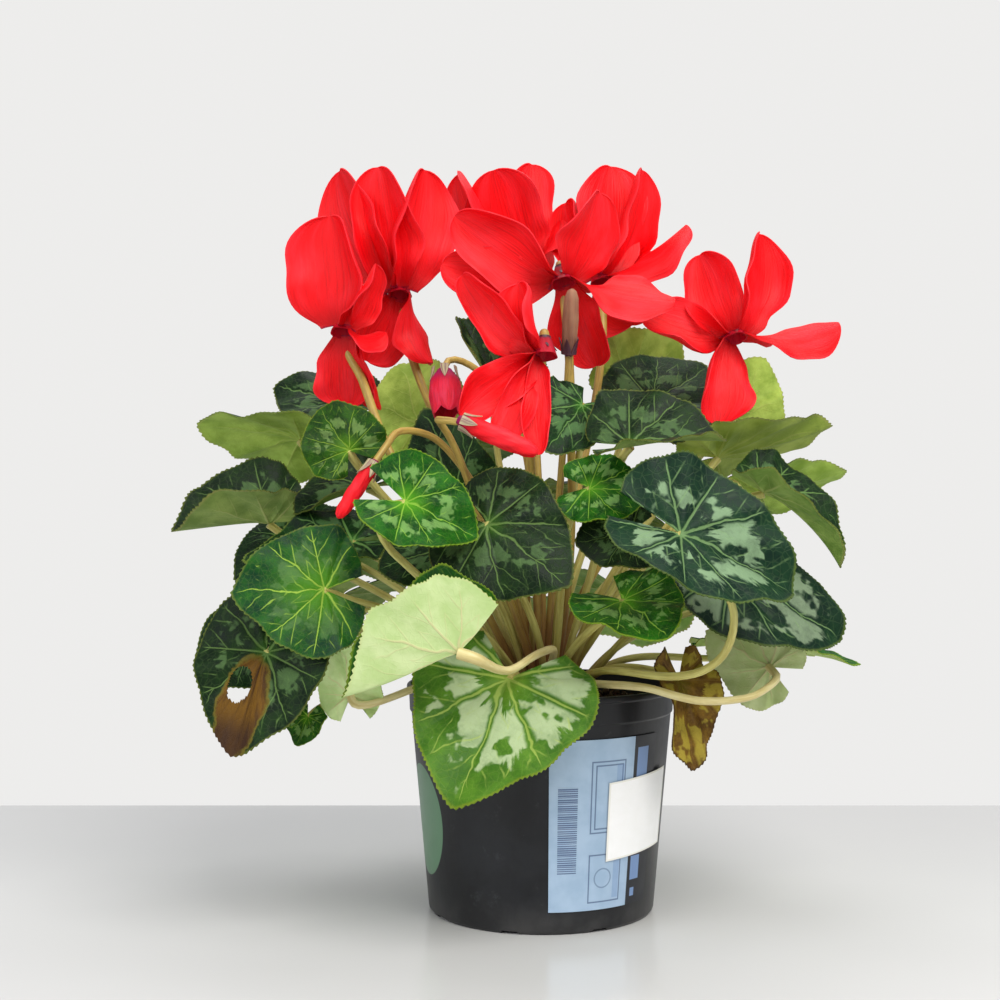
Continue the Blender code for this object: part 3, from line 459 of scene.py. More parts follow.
def stalk_ends():
    """Name, end point, arrival direction, end radius, sway and route of every stalk and stem."""
    ends = []
    for shape in LEAVES:
        hub, along, _, face = blade_frame(shape)
        arrive = unit(face * 0.8 + along * 0.6)
        ends.append((shape.name, hub, arrive, STALK_TIP_RADIUS, shape.sway, shape.via))
    for shape in FLOWERS:
        foot = crook(shape)[0]
        ends.append((shape.name, foot, -unit(shape.mouth), FLOWER_STEM_RADIUS, shape.sway, shape.via))
    for shape in BUDS:
        calyx = np.array(shape.calyx, float)
        arrive = unit(unit(shape.tip - calyx) + (0, 0, 0.4))
        ends.append((shape.name, calyx, arrive, STALK_TIP_RADIUS, shape.sway, shape.via))
    return ends


def seat_azimuths(wanted, spacing):
    """Azimuths near those wanted, with at least the spacing between neighbours round a ring."""
    order = np.argsort(wanted)
    placed = np.array(wanted, float)[order]
    for _ in range(SEAT_ROUNDS):
        ahead = np.roll(placed, -1)
        ahead[-1] += 2 * math.pi
        short = np.clip(spacing - (ahead - placed), 0, None) / 2
        placed = placed - short + np.roll(short, 1)
    result = np.zeros(len(wanted))
    result[order] = placed
    return result


def stalk_seats(ends):
    """Where each stalk leaves the tuber's crown, and the way it leaves."""
    toward = [via[0] if via else end for _, end, _, _, _, via in ends]
    tilts = [math.degrees(math.atan2(math.hypot(x, y), z - TUBER_CENTRE)) for x, y, z in toward]
    rings = [0 if tilt > RING_TILTS[0] else 1 if tilt > RING_TILTS[1] else 2 for tilt in tilts]
    seats = [None] * len(ends)
    for ring, radius in enumerate(RING_RADII):
        members = [index for index, own in enumerate(rings) if own == ring]
        wanted = [math.atan2(toward[index][1], toward[index][0]) for index in members]
        for index, azimuth in zip(members, seat_azimuths(wanted, STALK_SPACING / radius)):
            height = tuber_height(radius)
            rise = (height - TUBER_CENTRE) / TUBER_HALF_HEIGHT**2
            outward = radius / TUBER_RADIUS**2
            normal = unit((outward * math.cos(azimuth), outward * math.sin(azimuth), rise))
            foot = np.array((radius * math.cos(azimuth), radius * math.sin(azimuth), height))
            seats[index] = (foot + normal * GAP, normal)
    return seats


def arc(start, bow, end, share):
    """The point at a share of the way along a curve from start to end that leans towards bow."""
    return (1 - share) ** 2 * start + 2 * share * (1 - share) * bow + share**2 * end


def through(knots, steps):
    """Evenly spaced points along a smooth curve through the knots."""
    knots = np.array(knots, float)
    padded = np.vstack([2 * knots[0] - knots[1], knots, 2 * knots[-1] - knots[-2]])
    share = np.linspace(0, 1, 12, endpoint=False)[:, None]
    pieces = []
    for before, start, end, after in zip(padded, padded[1:], padded[2:], padded[3:]):
        pieces.append(0.5 * (
            2 * start + (end - before) * share + (2 * before - 5 * start + 4 * end - after) * share**2
            + (3 * start - before - 3 * end + after) * share**3
        ))
    curve = np.vstack([*pieces, knots[-1:]])
    run = np.concatenate([[0], np.cumsum(np.linalg.norm(np.diff(curve, axis=0), axis=1))])
    even = np.linspace(0, run[-1], steps)
    return np.stack([np.interp(even, run, curve[:, axis]) for axis in range(3)], axis=1)


def first_paths(ends, seats):
    """A smooth curve from each seat to its end."""
    share = np.linspace(0, 1, STALK_STEPS)[:, None]
    paths = []
    for (_, end, arrive, _, sway, via), (foot, leave) in zip(ends, seats):
        if via:
            knots = [foot, foot + leave * SEAT_LEAD, *via, end - arrive * END_LEAD, end]
            paths.append(through(knots, STALK_STEPS))
            continue
        span = np.linalg.norm(end - foot)
        first = foot + leave * span * LEAVE_PULL
        last = end - arrive * span * ARRIVE_PULL
        paths.append(
            (1 - share) ** 3 * foot + 3 * share * (1 - share) ** 2 * first
            + 3 * share**2 * (1 - share) * last + share**3 * end
            + np.sin(math.pi * share) ** 2 * np.array(sway, float)
        )
    return np.array(paths)


def finer(paths, steps):
    """Each path with more points along its straight pieces."""
    old = np.linspace(0, 1, paths.shape[1])
    new = np.linspace(0, 1, steps)
    return np.stack(
        [np.stack([np.interp(new, old, path[:, axis]) for axis in range(3)], axis=1) for path in paths]
    )


def nearest_push(points, tree, owners, own, clear):
    """How far a point has to move to be clear of the nearest points of other owners."""
    push = np.zeros(3)
    for place, index, distance in tree.find_range(points, clear):
        if owners[index] == own or distance < 1e-6:
            continue
        away = (np.array(points) - place) / distance
        push += away * (clear - distance) * 0.5
    return push


def untangled(paths, names):
    """The paths after they have moved apart from each other and from the blades they would cross."""
    blade_tree_points = []
    blade_owner = []
    for shape in LEAVES:
        spots = blade_grid(shape, 22, 6)[1:].reshape(-1, 3)
        blade_tree_points.extend(spots)
        blade_owner.extend([names.index(shape.name)] * len(spots))
    blades = KDTree(len(blade_tree_points))
    for index, place in enumerate(blade_tree_points):
        blades.insert(Vector(place), index)
    blades.balance()
    count, steps = paths.shape[:2]
    free = np.ones(steps)
    free[[0, 1, -1]] = 0
    free[[2, -2]] = 0.5
    shift = np.zeros_like(paths)
    for _ in range(UNTANGLE_ROUNDS):
        now = paths + shift
        dense = finer(now, 3 * (steps - 1) + 1)
        tree = KDTree(count * dense.shape[1])
        owner = np.repeat(np.arange(count), dense.shape[1])
        for index, place in enumerate(dense.reshape(-1, 3)):
            tree.insert(Vector(place), index)
        tree.balance()
        moves = np.zeros_like(now)
        for own in range(count):
            for step in range(2, steps - 1):
                place = Vector(now[own, step])
                moves[own, step] = nearest_push(place, tree, owner, own, CLEAR_OF_STALK)
                moves[own, step] += nearest_push(place, blades, blade_owner, own, CLEAR_OF_BLADE)
        size = np.linalg.norm(moves, axis=2, keepdims=True)
        moves = moves * np.minimum(1.0, UNTANGLE_STEP / np.maximum(size, 1e-9))
        shift = shift + moves * free[None, :, None]
        middle = (shift[:, :-2] + shift[:, 2:]) / 2
        shift[:, 1:-1] += UNTANGLE_EASE * (middle - shift[:, 1:-1])
    return paths + shift


def stalk_paths():
    """Path and end radius of every stalk and stem, by name."""
    ends = stalk_ends()
    names = [end[0] for end in ends]
    paths = untangled(first_paths(ends, stalk_seats(ends)), names)
    radii = [end[3] for end in ends]
    return {name: (path, radius) for name, path, radius in zip(names, paths, radii)}


# Finishes

def rgb(red, green, blue):
    """A display colour, each part from 0 to 255, as the linear values that a shader takes."""
    shares = np.array((red, green, blue)) / 255
    return tuple(np.where(shares <= 0.04045, shares / 12.92, ((shares + 0.055) / 1.055) ** 2.4))


class Net:
    """Short ways to add nodes to a tree and to join them. A value is a number, a colour or a socket."""

    def __init__(self, tree):
        self.tree = tree

    def set(self, socket, value):
        if isinstance(value, bpy.types.NodeSocket):
            self.tree.links.new(value, socket)
        elif isinstance(value, (tuple, list)) and socket.type == "RGBA":
            socket.default_value = (*value, 1.0)[:4]
        elif value is not None:
            socket.default_value = value

    def add(self, kind, inputs=(), **settings):
        node = self.tree.nodes.new("ShaderNode" + kind)
        for key, value in settings.items():
            setattr(node, key, value)
        for key, value in dict(inputs).items():
            self.set(node.inputs[key], value)
        return node

    def math(self, operation, *values):
        node = self.add("Math", operation=operation)
        for socket, value in zip(node.inputs, values):
            self.set(socket, value)
        return node.outputs[0]

    def plus(self, first, second):
        return self.math("ADD", first, second)

    def minus(self, first, second):
        return self.math("SUBTRACT", first, second)

    def times(self, first, second):
        return self.math("MULTIPLY", first, second)

    def over(self, first, second):
        return self.math("DIVIDE", first, second)

    def absolute(self, value):
        return self.math("ABSOLUTE", value)

    def inverse(self, value):
        """1 less the value."""
        return self.math("SUBTRACT", 1.0, value)

    def times_plus(self, value, factor, more):
        return self.math("MULTIPLY_ADD", value, factor, more)

    def moved(self, value, pattern, amount):
        """The value, moved either way by a pattern that lies about 0.5."""
        return self.times_plus(self.minus(pattern, 0.5), amount, value)

    def distance(self, x, y):
        return self.math("SQRT", self.plus(self.times(x, x), self.times(y, y)))

    def mix(self, share, first, second):
        node = self.add("Mix", data_type="RGBA")
        for socket, value in zip((node.inputs[0], node.inputs[6], node.inputs[7]), (share, first, second)):
            self.set(socket, value)
        return node.outputs[2]

    def ramp(self, value, low, high, start=0.0, end=1.0):
        """A smooth step from start to end while the value goes from low to high."""
        node = self.add("MapRange", interpolation_type="SMOOTHSTEP")
        settings = {"Value": value, "From Min": low, "From Max": high, "To Min": start, "To Max": end}
        for key, setting in settings.items():
            self.set(node.inputs[key], setting)
        return node.outputs[0]

    def noise(self, place, scale, detail=3.0, roughness=0.55, seed=0.0):
        node = self.add("TexNoise", {"Vector": place, "Scale": scale, "Detail": detail,
                                     "Roughness": roughness, "W": seed}, noise_dimensions="4D")
        return node.outputs[0]

    def cells(self, place, scale, feature="DISTANCE_TO_EDGE"):
        node = self.add("TexVoronoi", {"Vector": place, "Scale": scale}, feature=feature)
        return node.outputs[0]

    def parts(self, vector):
        return self.add("SeparateXYZ", {0: vector}).outputs

    def vector(self, x, y, z=0.0):
        return self.add("CombineXYZ", {0: x, 1: y, 2: z}).outputs[0]

    def bump(self, height, distance, strength=1.0):
        return self.add("Bump", {"Height": height, "Distance": distance, "Strength": strength}).outputs[0]

    def group(self, name, **values):
        node = self.add("Group", node_tree=bpy.data.node_groups[name])
        for key, value in values.items():
            self.set(node.inputs[key.replace("_", " ")], value)
        return node.outputs


def new_group(name, inputs, outputs):
    """A shader node group with named sockets: its net, the sockets that give, and the sockets that take."""
    tree = bpy.data.node_groups.new(name, "ShaderNodeTree")
    for way, sockets in (("INPUT", inputs), ("OUTPUT", outputs)):
        for label, kind in sockets.items():
            tree.interface.new_socket(label, in_out=way, socket_type="NodeSocket" + kind)
    source = tree.nodes.new("NodeGroupInput")
    sink = tree.nodes.new("NodeGroupOutput")
    return Net(tree), source.outputs, sink.inputs


def make_vein_group():
    """Main veins that fan out from the hub, side veins that leave them like a feather, and the mesh."""
    net, given, out = new_group(
        "Leaf veins",
        {"Blade": "Vector", "Spread": "Float", "Seed": "Float"},
        {"Main": "Float", "Side": "Float", "Mesh": "Float", "Between": "Float", "Wave": "Float"},
    )
    wave = net.noise(given["Blade"], 2.6, 2.0, seed=given["Seed"])
    fine = net.noise(given["Blade"], 9.0, 2.0, seed=given["Seed"])
    x, y, _ = net.parts(given["Blade"])
    swayed = net.moved(x, wave, 0.22)
    swayed = net.moved(swayed, fine, 0.05)
    angle = net.math("ARCTAN2", swayed, y)
    reach = net.distance(swayed, y)
    turn = net.over(angle, VEIN_STEP)
    off = net.minus(turn, net.math("ROUND", turn))
    lean = net.times(off, VEIN_STEP)
    along = net.times(reach, net.math("COSINE", lean))
    aside = net.absolute(net.times(reach, net.math("SINE", lean)))
    width = net.times_plus(given["Spread"], -0.013, 0.019)
    main = net.inverse(net.ramp(net.over(aside, width), 0.3, 1.0))
    step = net.over(net.times_plus(aside, -1.25, along), 0.2)
    from_branch = net.absolute(net.minus(step, net.math("ROUND", step)))
    side = net.inverse(net.ramp(from_branch, 0.015, 0.075))
    side = net.times(side, net.ramp(step, 0.6, 1.2))
    mesh = net.inverse(net.ramp(net.cells(given["Blade"], 17.0), 0.0, 0.09))
    net.set(out["Main"], main)
    net.set(out["Side"], side)
    net.set(out["Mesh"], mesh)
    net.set(out["Between"], net.ramp(aside, 0.014, 0.045))
    net.set(out["Wave"], wave)


def make_upper_group():
    """Colour and relief of a blade's upper side: a dark field, silver between the veins, pale veins."""
    net, given, out = new_group(
        "Leaf upper side",
        {"Blade": "Vector", "Spread": "Float", "Seed": "Float", "Deep": "Color", "Light": "Color",
         "Heart": "Color", "Heart Size": "Float", "Silver": "Color", "Silver Amount": "Float",
         "Silver From": "Float", "Silver To": "Float", "Vein": "Color", "Vein Amount": "Float",
         "Margin": "Color", "Margin Amount": "Float", "Scorch": "Float"},
        {"Color": "Color", "Height": "Float", "Roughness": "Float"},
    )
    blade, spread, seed = given["Blade"], given["Spread"], given["Seed"]
    veins = net.group("Leaf veins", Blade=blade, Spread=spread, Seed=seed)
    mottle = net.noise(blade, 5.0, 4.0, 0.65, seed)
    ragged = net.noise(blade, 26.0, 3.0, 0.6, seed)
    field = net.mix(net.ramp(mottle, 0.35, 0.68), given["Deep"], given["Light"])
    speck = net.cells(blade, 60.0, "F1")
    field = net.mix(net.ramp(speck, 0.1, 0.6, 0.0, 0.22), field, given["Deep"])
    heart = net.inverse(net.ramp(net.times_plus(mottle, 0.2, spread),
                                               0.1, net.plus(given["Heart Size"], 0.1)))
    field = net.mix(heart, field, given["Heart"])
    x, y, _ = net.parts(blade)
    turn = net.math("ARCTAN2", x, y)
    tongues = net.noise(net.vector(net.times(turn, 3.4), spread), 1.7, 3.0, 0.6, seed)
    barbs = net.noise(net.vector(net.times(turn, 8.0), net.times(spread, 4.5)), 1.0, 4.0,
                      0.7, seed)
    zone = net.moved(spread, veins["Wave"], 0.5)
    zone = net.moved(zone, tongues, 0.6)
    zone = net.moved(zone, barbs, 0.26)
    inner = net.ramp(zone, given["Silver From"], net.plus(given["Silver From"], 0.05))
    outer = net.ramp(zone, given["Silver To"], net.plus(given["Silver To"], 0.07))
    band = net.times(inner, net.inverse(outer))
    patch = net.ramp(net.noise(blade, 4.4, 2.5, 0.6, net.plus(seed, 4.0)), 0.45, 0.5)
    silver = net.times(net.times(band, patch), veins["Between"])
    silver = net.times(silver, net.ramp(mottle, 0.3, 0.55, 0.6, 1.0))
    silver = net.times(silver, given["Silver Amount"])
    colour = net.mix(silver, field, given["Silver"])
    broken = net.ramp(net.noise(blade, 6.0, 2.0, 0.5, net.plus(seed, 9.0)), 0.42, 0.6)
    side = net.times(net.times(veins["Side"], broken), 0.75)
    lines = net.times(net.math("MAXIMUM", veins["Main"], side), net.ramp(spread, 0.97, 0.86))
    colour = net.mix(net.times(veins["Mesh"], 0.06), colour, given["Vein"])
    colour = net.mix(net.times(lines, given["Vein Amount"]), colour, given["Vein"])
    rim = net.times(net.ramp(net.times_plus(ragged, 0.02, spread), 0.975, 1.005),
                   given["Margin Amount"])
    colour = net.mix(rim, colour, given["Margin"])
    across = net.over(net.minus(x, SCORCH_PLACE[0]), SCORCH_PLACE[2])
    ahead = net.over(net.minus(y, SCORCH_PLACE[1]), SCORCH_PLACE[3])
    away = net.plus(net.times(across, across), net.times(ahead, ahead))
    away = net.moved(away, mottle, 1.1)
    dry = net.times(net.ramp(away, 1.12, 0.95), given["Scorch"])
    withered = net.mix(net.ramp(tongues, 0.35, 0.6), rgb(66, 44, 20), rgb(118, 86, 22))
    withered = net.mix(net.ramp(y, 0.55, 0.85, 0.0, 0.8), withered, rgb(58, 38, 26))
    withered = net.mix(net.ramp(away, 0.75, 1.0), withered, rgb(112, 104, 34))
    net.set(out["Color"], net.mix(dry, colour, withered))
    height = net.times_plus(lines, -0.6, net.times(mottle, 0.6))
    height = net.times_plus(veins["Mesh"], -0.25, height)
    height = net.times_plus(speck, 0.12, height)
    net.set(out["Height"], height)
    net.set(out["Roughness"], net.times_plus(silver, 0.1, net.ramp(mottle, 0.3, 0.7, 0.4, 0.52)))


def make_under_group():
    """Colour and relief of a blade's under side: pale, with patches of painted shade, and raised veins."""
    net, given, out = new_group(
        "Leaf under side",
        {"Blade": "Vector", "Spread": "Float", "Seed": "Float", "Pale": "Color", "Dusk": "Color",
         "Vein": "Color", "Vein Amount": "Float", "Margin": "Color"},
        {"Color": "Color", "Height": "Float"},
    )
    blade, spread = given["Blade"], given["Spread"]
    veins = net.group("Leaf veins", Blade=blade, Spread=spread, Seed=given["Seed"])
    mottle = net.noise(blade, 3.0, 4.0, 0.6, given["Seed"])
    # Painted shade: noise patches of the under side's shaded colour over its pale one.
    colour = net.mix(net.ramp(mottle, 0.36, 0.68), given["Dusk"], given["Pale"])
    lines = net.math("MAXIMUM", veins["Main"], net.times(veins["Side"], 0.45))
    lines = net.times(lines, net.ramp(spread, 0.95, 0.6))
    colour = net.mix(net.times(lines, given["Vein Amount"]), colour, given["Vein"])
    rim = net.ramp(spread, 0.955, 1.0, 0.0, 0.8)
    net.set(out["Color"], net.mix(rim, colour, given["Margin"]))
    height = net.times_plus(veins["Mesh"], 0.2, net.times(lines, 0.8))
    net.set(out["Height"], net.times_plus(mottle, 0.3, height))


def make_petal_group():
    """Colour and relief of a petal: fine lines along it, painted shade towards the throat, painted highlight in
    patches and along its edges, and a dark throat.
    """
    net, given, out = new_group(
        "Petal",
        {"Petal": "Vector", "Seed": "Float", "Bright": "Color", "Deep": "Color", "Bloom": "Color",
         "Throat": "Color", "Throat Size": "Float"},
        {"Color": "Color", "Height": "Float"},
    )
    x, y, _ = net.parts(given["Petal"])
    stretched = net.vector(net.times(x, 9.0), net.times(y, 1.1))
    lines = net.noise(stretched, 2.2, 3.0, 0.6, given["Seed"])
    cloud = net.noise(given["Petal"], 2.2, 2.0, 0.5, given["Seed"])
    colour = net.mix(net.ramp(lines, 0.42, 0.75, 0.0, 0.55), given["Bright"], given["Deep"])
    # Painted shade: the petal grows darker towards the throat.
    throat_shade = net.ramp(net.times_plus(lines, 0.25, y), 0.1, 0.62, 0.75, 0.0)
    colour = net.mix(throat_shade, colour, given["Deep"])
    # Painted highlight: lighter pink patches on the outer part of the petal.
    full = net.times(net.ramp(cloud, 0.42, 0.68), net.ramp(y, 0.15, 0.5))
    colour = net.mix(net.times(full, 0.4), colour, given["Bloom"])
    edge = net.ramp(net.times_plus(lines, 0.12, y), 0.05, net.plus(given["Throat Size"], 0.06))
    # Painted highlight along the petal's edges.
    rim = net.ramp(net.absolute(x), 0.9, 1.0, 0.0, 0.5)
    colour = net.mix(net.times(rim, net.ramp(y, 0.2, 0.5)), colour, given["Bloom"])
    net.set(out["Color"], net.mix(net.inverse(edge), colour, given["Throat"]))
    net.set(out["Height"], net.times_plus(cloud, 1.5, lines))


def make_skin_group():
    """Colour and relief of a stalk or bud: lines along it, blotches and a foot of another colour."""
    net, given, out = new_group(
        "Stalk skin",
        {"Run": "Vector", "Seed": "Float", "Bright": "Color", "Dull": "Color", "Foot": "Color",
         "Foot Size": "Float", "Streaks": "Float"},
        {"Color": "Color", "Height": "Float"},
    )
    x, y, _ = net.parts(given["Run"])
    stretched = net.vector(net.times(x, given["Streaks"]), net.times(y, 0.06))
    lines = net.noise(stretched, 1.0, 3.0, 0.6, given["Seed"])
    blotch = net.noise(net.vector(net.times(x, 2.0), y), 0.09, 3.0, 0.6, given["Seed"])
    colour = net.mix(net.ramp(lines, 0.35, 0.7), given["Bright"], given["Dull"])
    colour = net.mix(net.ramp(blotch, 0.45, 0.75, 0.0, 0.6), colour, given["Dull"])
    foot = net.inverse(net.ramp(net.times_plus(lines, 8.0, y), 2.0, given["Foot Size"]))
    net.set(out["Color"], net.mix(net.times(foot, 0.85), colour, given["Foot"]))
    net.set(out["Height"], lines)


def make_block_group():
    """Where a rectangle of the print lies, from its middle and half sizes, in millimetres on the panel."""
    net, given, out = new_group(
        "Print block",
        {"Panel": "Vector", "Middle X": "Float", "Middle Y": "Float", "Half Width": "Float",
         "Half Height": "Float"},
        {"Inside": "Float", "Frame": "Float"},
    )
    x, y, _ = net.parts(given["Panel"])
    aside = net.minus(net.absolute(net.minus(x, given["Middle X"])), given["Half Width"])
    above = net.minus(net.absolute(net.minus(y, given["Middle Y"])), given["Half Height"])
    past = net.math("MAXIMUM", aside, above)
    net.set(out["Inside"], net.ramp(past, 0.08, -0.08))
    net.set(out["Frame"], net.ramp(net.absolute(past), 0.35, 0.2))


def make_groups():
    make_vein_group()
    make_upper_group()
    make_under_group()
    make_petal_group()
    make_skin_group()
    make_block_group()


def new_material(name, roughness=0.5, **settings):
    """A material, its net and its shader. Settings are constants on the shader's own sockets."""
    made = bpy.data.materials.new(name)
    made.use_nodes = True
    net = Net(made.node_tree)
    shader = made.node_tree.nodes["Principled BSDF"]
    shader.inputs["Roughness"].default_value = roughness
    for key, value in settings.items():
        net.set(shader.inputs[key.replace("_", " ")], value)
    return made, net, shader


def map_place(net, name):
    """The place that one of a mesh's maps gives a point."""
    return net.add("UVMap", uv_map=name).outputs[0]


def own_seed(net):
    return net.parts(map_place(net, "growth"))[0]


def leaf_places(net):
    """The sockets that every blade's groups take: place on the blade, share of the way out, and seed."""
    spread = net.parts(map_place(net, "spread"))[1]
    return {"Blade": map_place(net, "blade"), "Spread": spread, "Seed": own_seed(net)}


def tinted(net, colour):
    """The colour made a little lighter or darker from leaf to leaf."""
    age = net.parts(map_place(net, "growth"))[1]
    return net.add("HueSaturation", {"Hue": net.ramp(age, 0.0, 1.0, 0.49, 0.51),
                                     "Value": net.ramp(age, 0.0, 1.0, 0.8, 1.2),
                                     "Color": colour}).outputs[0]


UPPER_FINISHES = {
    "leaf_dark": dict(
        Deep=rgb(10, 30, 14), Light=rgb(26, 58, 18), Heart=rgb(48, 94, 24), Heart_Size=0.3,
        Silver=rgb(100, 138, 82), Silver_Amount=0.55, Silver_From=0.34, Silver_To=0.64,
        Vein=rgb(120, 158, 84), Vein_Amount=0.6, Margin=rgb(118, 132, 52), Margin_Amount=0.55),
    "leaf_silver": dict(
        Deep=rgb(10, 36, 26), Light=rgb(24, 60, 34), Heart=rgb(24, 58, 34), Heart_Size=0.3,
        Silver=rgb(138, 168, 128), Silver_Amount=0.85, Silver_From=0.32, Silver_To=0.66,
        Vein=rgb(130, 166, 106), Vein_Amount=0.65, Margin=rgb(106, 128, 52), Margin_Amount=0.5),
    "leaf_fresh": dict(
        Deep=rgb(14, 56, 8), Light=rgb(40, 98, 10), Heart=rgb(80, 138, 18), Heart_Size=0.45,
        Silver=rgb(140, 178, 100), Silver_Amount=0.5, Silver_From=0.42, Silver_To=0.64,
        Vein=rgb(146, 184, 66), Vein_Amount=0.65, Margin=rgb(130, 152, 40), Margin_Amount=0.65),
    "leaf_brown": dict(
        Deep=rgb(78, 50, 20), Light=rgb(140, 104, 36), Heart=rgb(110, 96, 30), Heart_Size=0.4,
        Silver=rgb(168, 148, 56), Silver_Amount=0.8, Silver_From=0.5, Silver_To=0.9,
        Vein=rgb(120, 90, 44), Vein_Amount=0.5, Margin=rgb(60, 40, 22), Margin_Amount=0.8),
}
# The second colour of each under side is its colour in shade, painted in patches.
UNDER_FINISHES = {
    "under_green": dict(
        Pale=rgb(154, 182, 92), Dusk=rgb(108, 142, 58), Vein=rgb(186, 196, 120), Vein_Amount=0.6,
        Margin=rgb(160, 160, 90)),
    "under_fresh": dict(
        Pale=rgb(168, 186, 100), Dusk=rgb(136, 158, 74), Vein=rgb(196, 200, 124), Vein_Amount=0.5,
        Margin=rgb(170, 170, 86)),
    # Painted light: a lighter, yellower copy of the green under side, as if lit through from behind.
    "under_olive": dict(
        Pale=rgb(172, 196, 84), Dusk=rgb(128, 156, 50), Vein=rgb(180, 192, 96), Vein_Amount=0.4,
        Margin=rgb(160, 170, 84)),
    "under_pale": dict(
        Pale=rgb(204, 220, 160), Dusk=rgb(180, 204, 132), Vein=rgb(206, 198, 146), Vein_Amount=0.7,
        Margin=rgb(196, 206, 140)),
    "under_brown": dict(
        Pale=rgb(160, 124, 46), Dusk=rgb(100, 72, 30), Vein=rgb(110, 80, 44), Vein_Amount=0.5,
        Margin=rgb(70, 48, 26)),
}
# Blades whose own markings stand out from those of their kind
OWN_MARKINGS = {
    "leaf_apron": ("leaf_fresh", dict(
        Silver=rgb(196, 218, 168), Silver_Amount=0.85, Silver_From=0.28, Silver_To=0.76, Heart_Size=0.3,
        Heart=rgb(112, 156, 44), Light=rgb(90, 146, 40), Deep=rgb(56, 110, 26), Vein=rgb(176, 204, 96))),
    "leaf_round_left": ("leaf_dark", dict(
        Vein=rgb(150, 188, 70), Vein_Amount=1.0, Heart=rgb(74, 140, 24), Heart_Size=0.8,
        Light=rgb(34, 100, 24), Deep=rgb(14, 56, 32), Silver_Amount=0.4)),
    "leaf_low_right": ("leaf_silver", dict(Silver_To=0.8, Silver=rgb(140, 162, 130))),
    "leaf_scorched": ("leaf_dark", dict(Scorch=1.0)),
}


def make_upper(name, values):
    made, net, shader = new_material(name, 0.45, Specular_IOR_Level=0.14)
    drawn = net.group("Leaf upper side", **leaf_places(net), **values)
    net.set(shader.inputs["Base Color"], tinted(net, drawn["Color"]))
    net.set(shader.inputs["Roughness"], drawn["Roughness"])
    net.set(shader.inputs["Normal"], net.bump(drawn["Height"], LEAF_RELIEF, 0.5))
    return made


def make_under(name, values):
    made, net, shader = new_material(name, 0.6, Specular_IOR_Level=0.3)
    drawn = net.group("Leaf under side", **leaf_places(net), **values)
    net.set(shader.inputs["Base Color"], tinted(net, drawn["Color"]))
    net.set(shader.inputs["Normal"], net.bump(drawn["Height"], LEAF_RELIEF, 0.5))
    return made


# In each finish the third colour is a painted highlight, and Deep is also the painted shade towards the throat.
PETAL_FINISHES = {
    "petal": dict(Bright=rgb(248, 4, 18), Deep=rgb(176, 0, 8), Bloom=rgb(255, 52, 66),
                  Throat=rgb(128, 4, 50), Throat_Size=0.04),
    "bud_red": dict(Bright=rgb(246, 14, 30), Deep=rgb(170, 0, 16), Bloom=rgb(255, 50, 66),
                    Throat=rgb(130, 6, 78), Throat_Size=0.22),
    "bud_magenta": dict(Bright=rgb(226, 18, 52), Deep=rgb(120, 0, 32), Bloom=rgb(232, 60, 96),
                        Throat=rgb(160, 20, 96), Throat_Size=0.4),
    "bud_faded": dict(Bright=rgb(150, 104, 82), Deep=rgb(96, 58, 52), Bloom=rgb(186, 146, 112),
                      Throat=rgb(92, 44, 66), Throat_Size=0.16),
    "cup": dict(Bright=rgb(190, 6, 34), Deep=rgb(150, 2, 34), Bloom=rgb(176, 14, 48),
                Throat=rgb(104, 6, 48), Throat_Size=0.12),
}
STALK_FINISHES = {
    "stalk": dict(Bright=rgb(212, 206, 124), Dull=rgb(172, 160, 82), Foot=rgb(138, 94, 60), Foot_Size=30.0,
                  Streaks=7.0),
    "stalk_pale": dict(Bright=rgb(226, 214, 158), Dull=rgb(200, 182, 118), Foot=rgb(176, 130, 90),
                       Foot_Size=20.0, Streaks=6.0),
    "stem": dict(Bright=rgb(196, 170, 84), Dull=rgb(150, 120, 62), Foot=rgb(124, 72, 52), Foot_Size=56.0,
                 Streaks=7.0),
    "sepal": dict(Bright=rgb(96, 50, 60), Dull=rgb(58, 26, 42), Foot=rgb(160, 150, 96), Foot_Size=4.0,
                  Streaks=4.0),
    "sepal_pale": dict(Bright=rgb(200, 192, 146), Dull=rgb(118, 64, 84), Foot=rgb(104, 60, 64),
                       Foot_Size=4.0, Streaks=4.0),
}


def make_petal(name, values):
    made, net, shader = new_material(name, 0.5, Specular_IOR_Level=0.25, Subsurface_Weight=0.12,
                                     Subsurface_Scale=0.003)
    shader.inputs["Subsurface Radius"].default_value = (1.0, 0.18, 0.12)
    drawn = net.group("Petal", Petal=map_place(net, "petal"), Seed=own_seed(net), **values)
    net.set(shader.inputs["Base Color"], drawn["Color"])
    net.set(shader.inputs["Normal"], net.bump(drawn["Height"], PETAL_RELIEF, 0.45))
    return made


def make_stalk(name, values):
    made, net, shader = new_material(name, 0.42, Specular_IOR_Level=0.4)
    drawn = net.group("Stalk skin", Run=map_place(net, "run"), Seed=own_seed(net), **values)
    net.set(shader.inputs["Base Color"], drawn["Color"])
    net.set(shader.inputs["Normal"], net.bump(drawn["Height"], STALK_RELIEF, 0.4))
    return made


def place_on_object(net):
    """A point's place in metres."""
    return net.add("TexCoord").outputs["Object"]


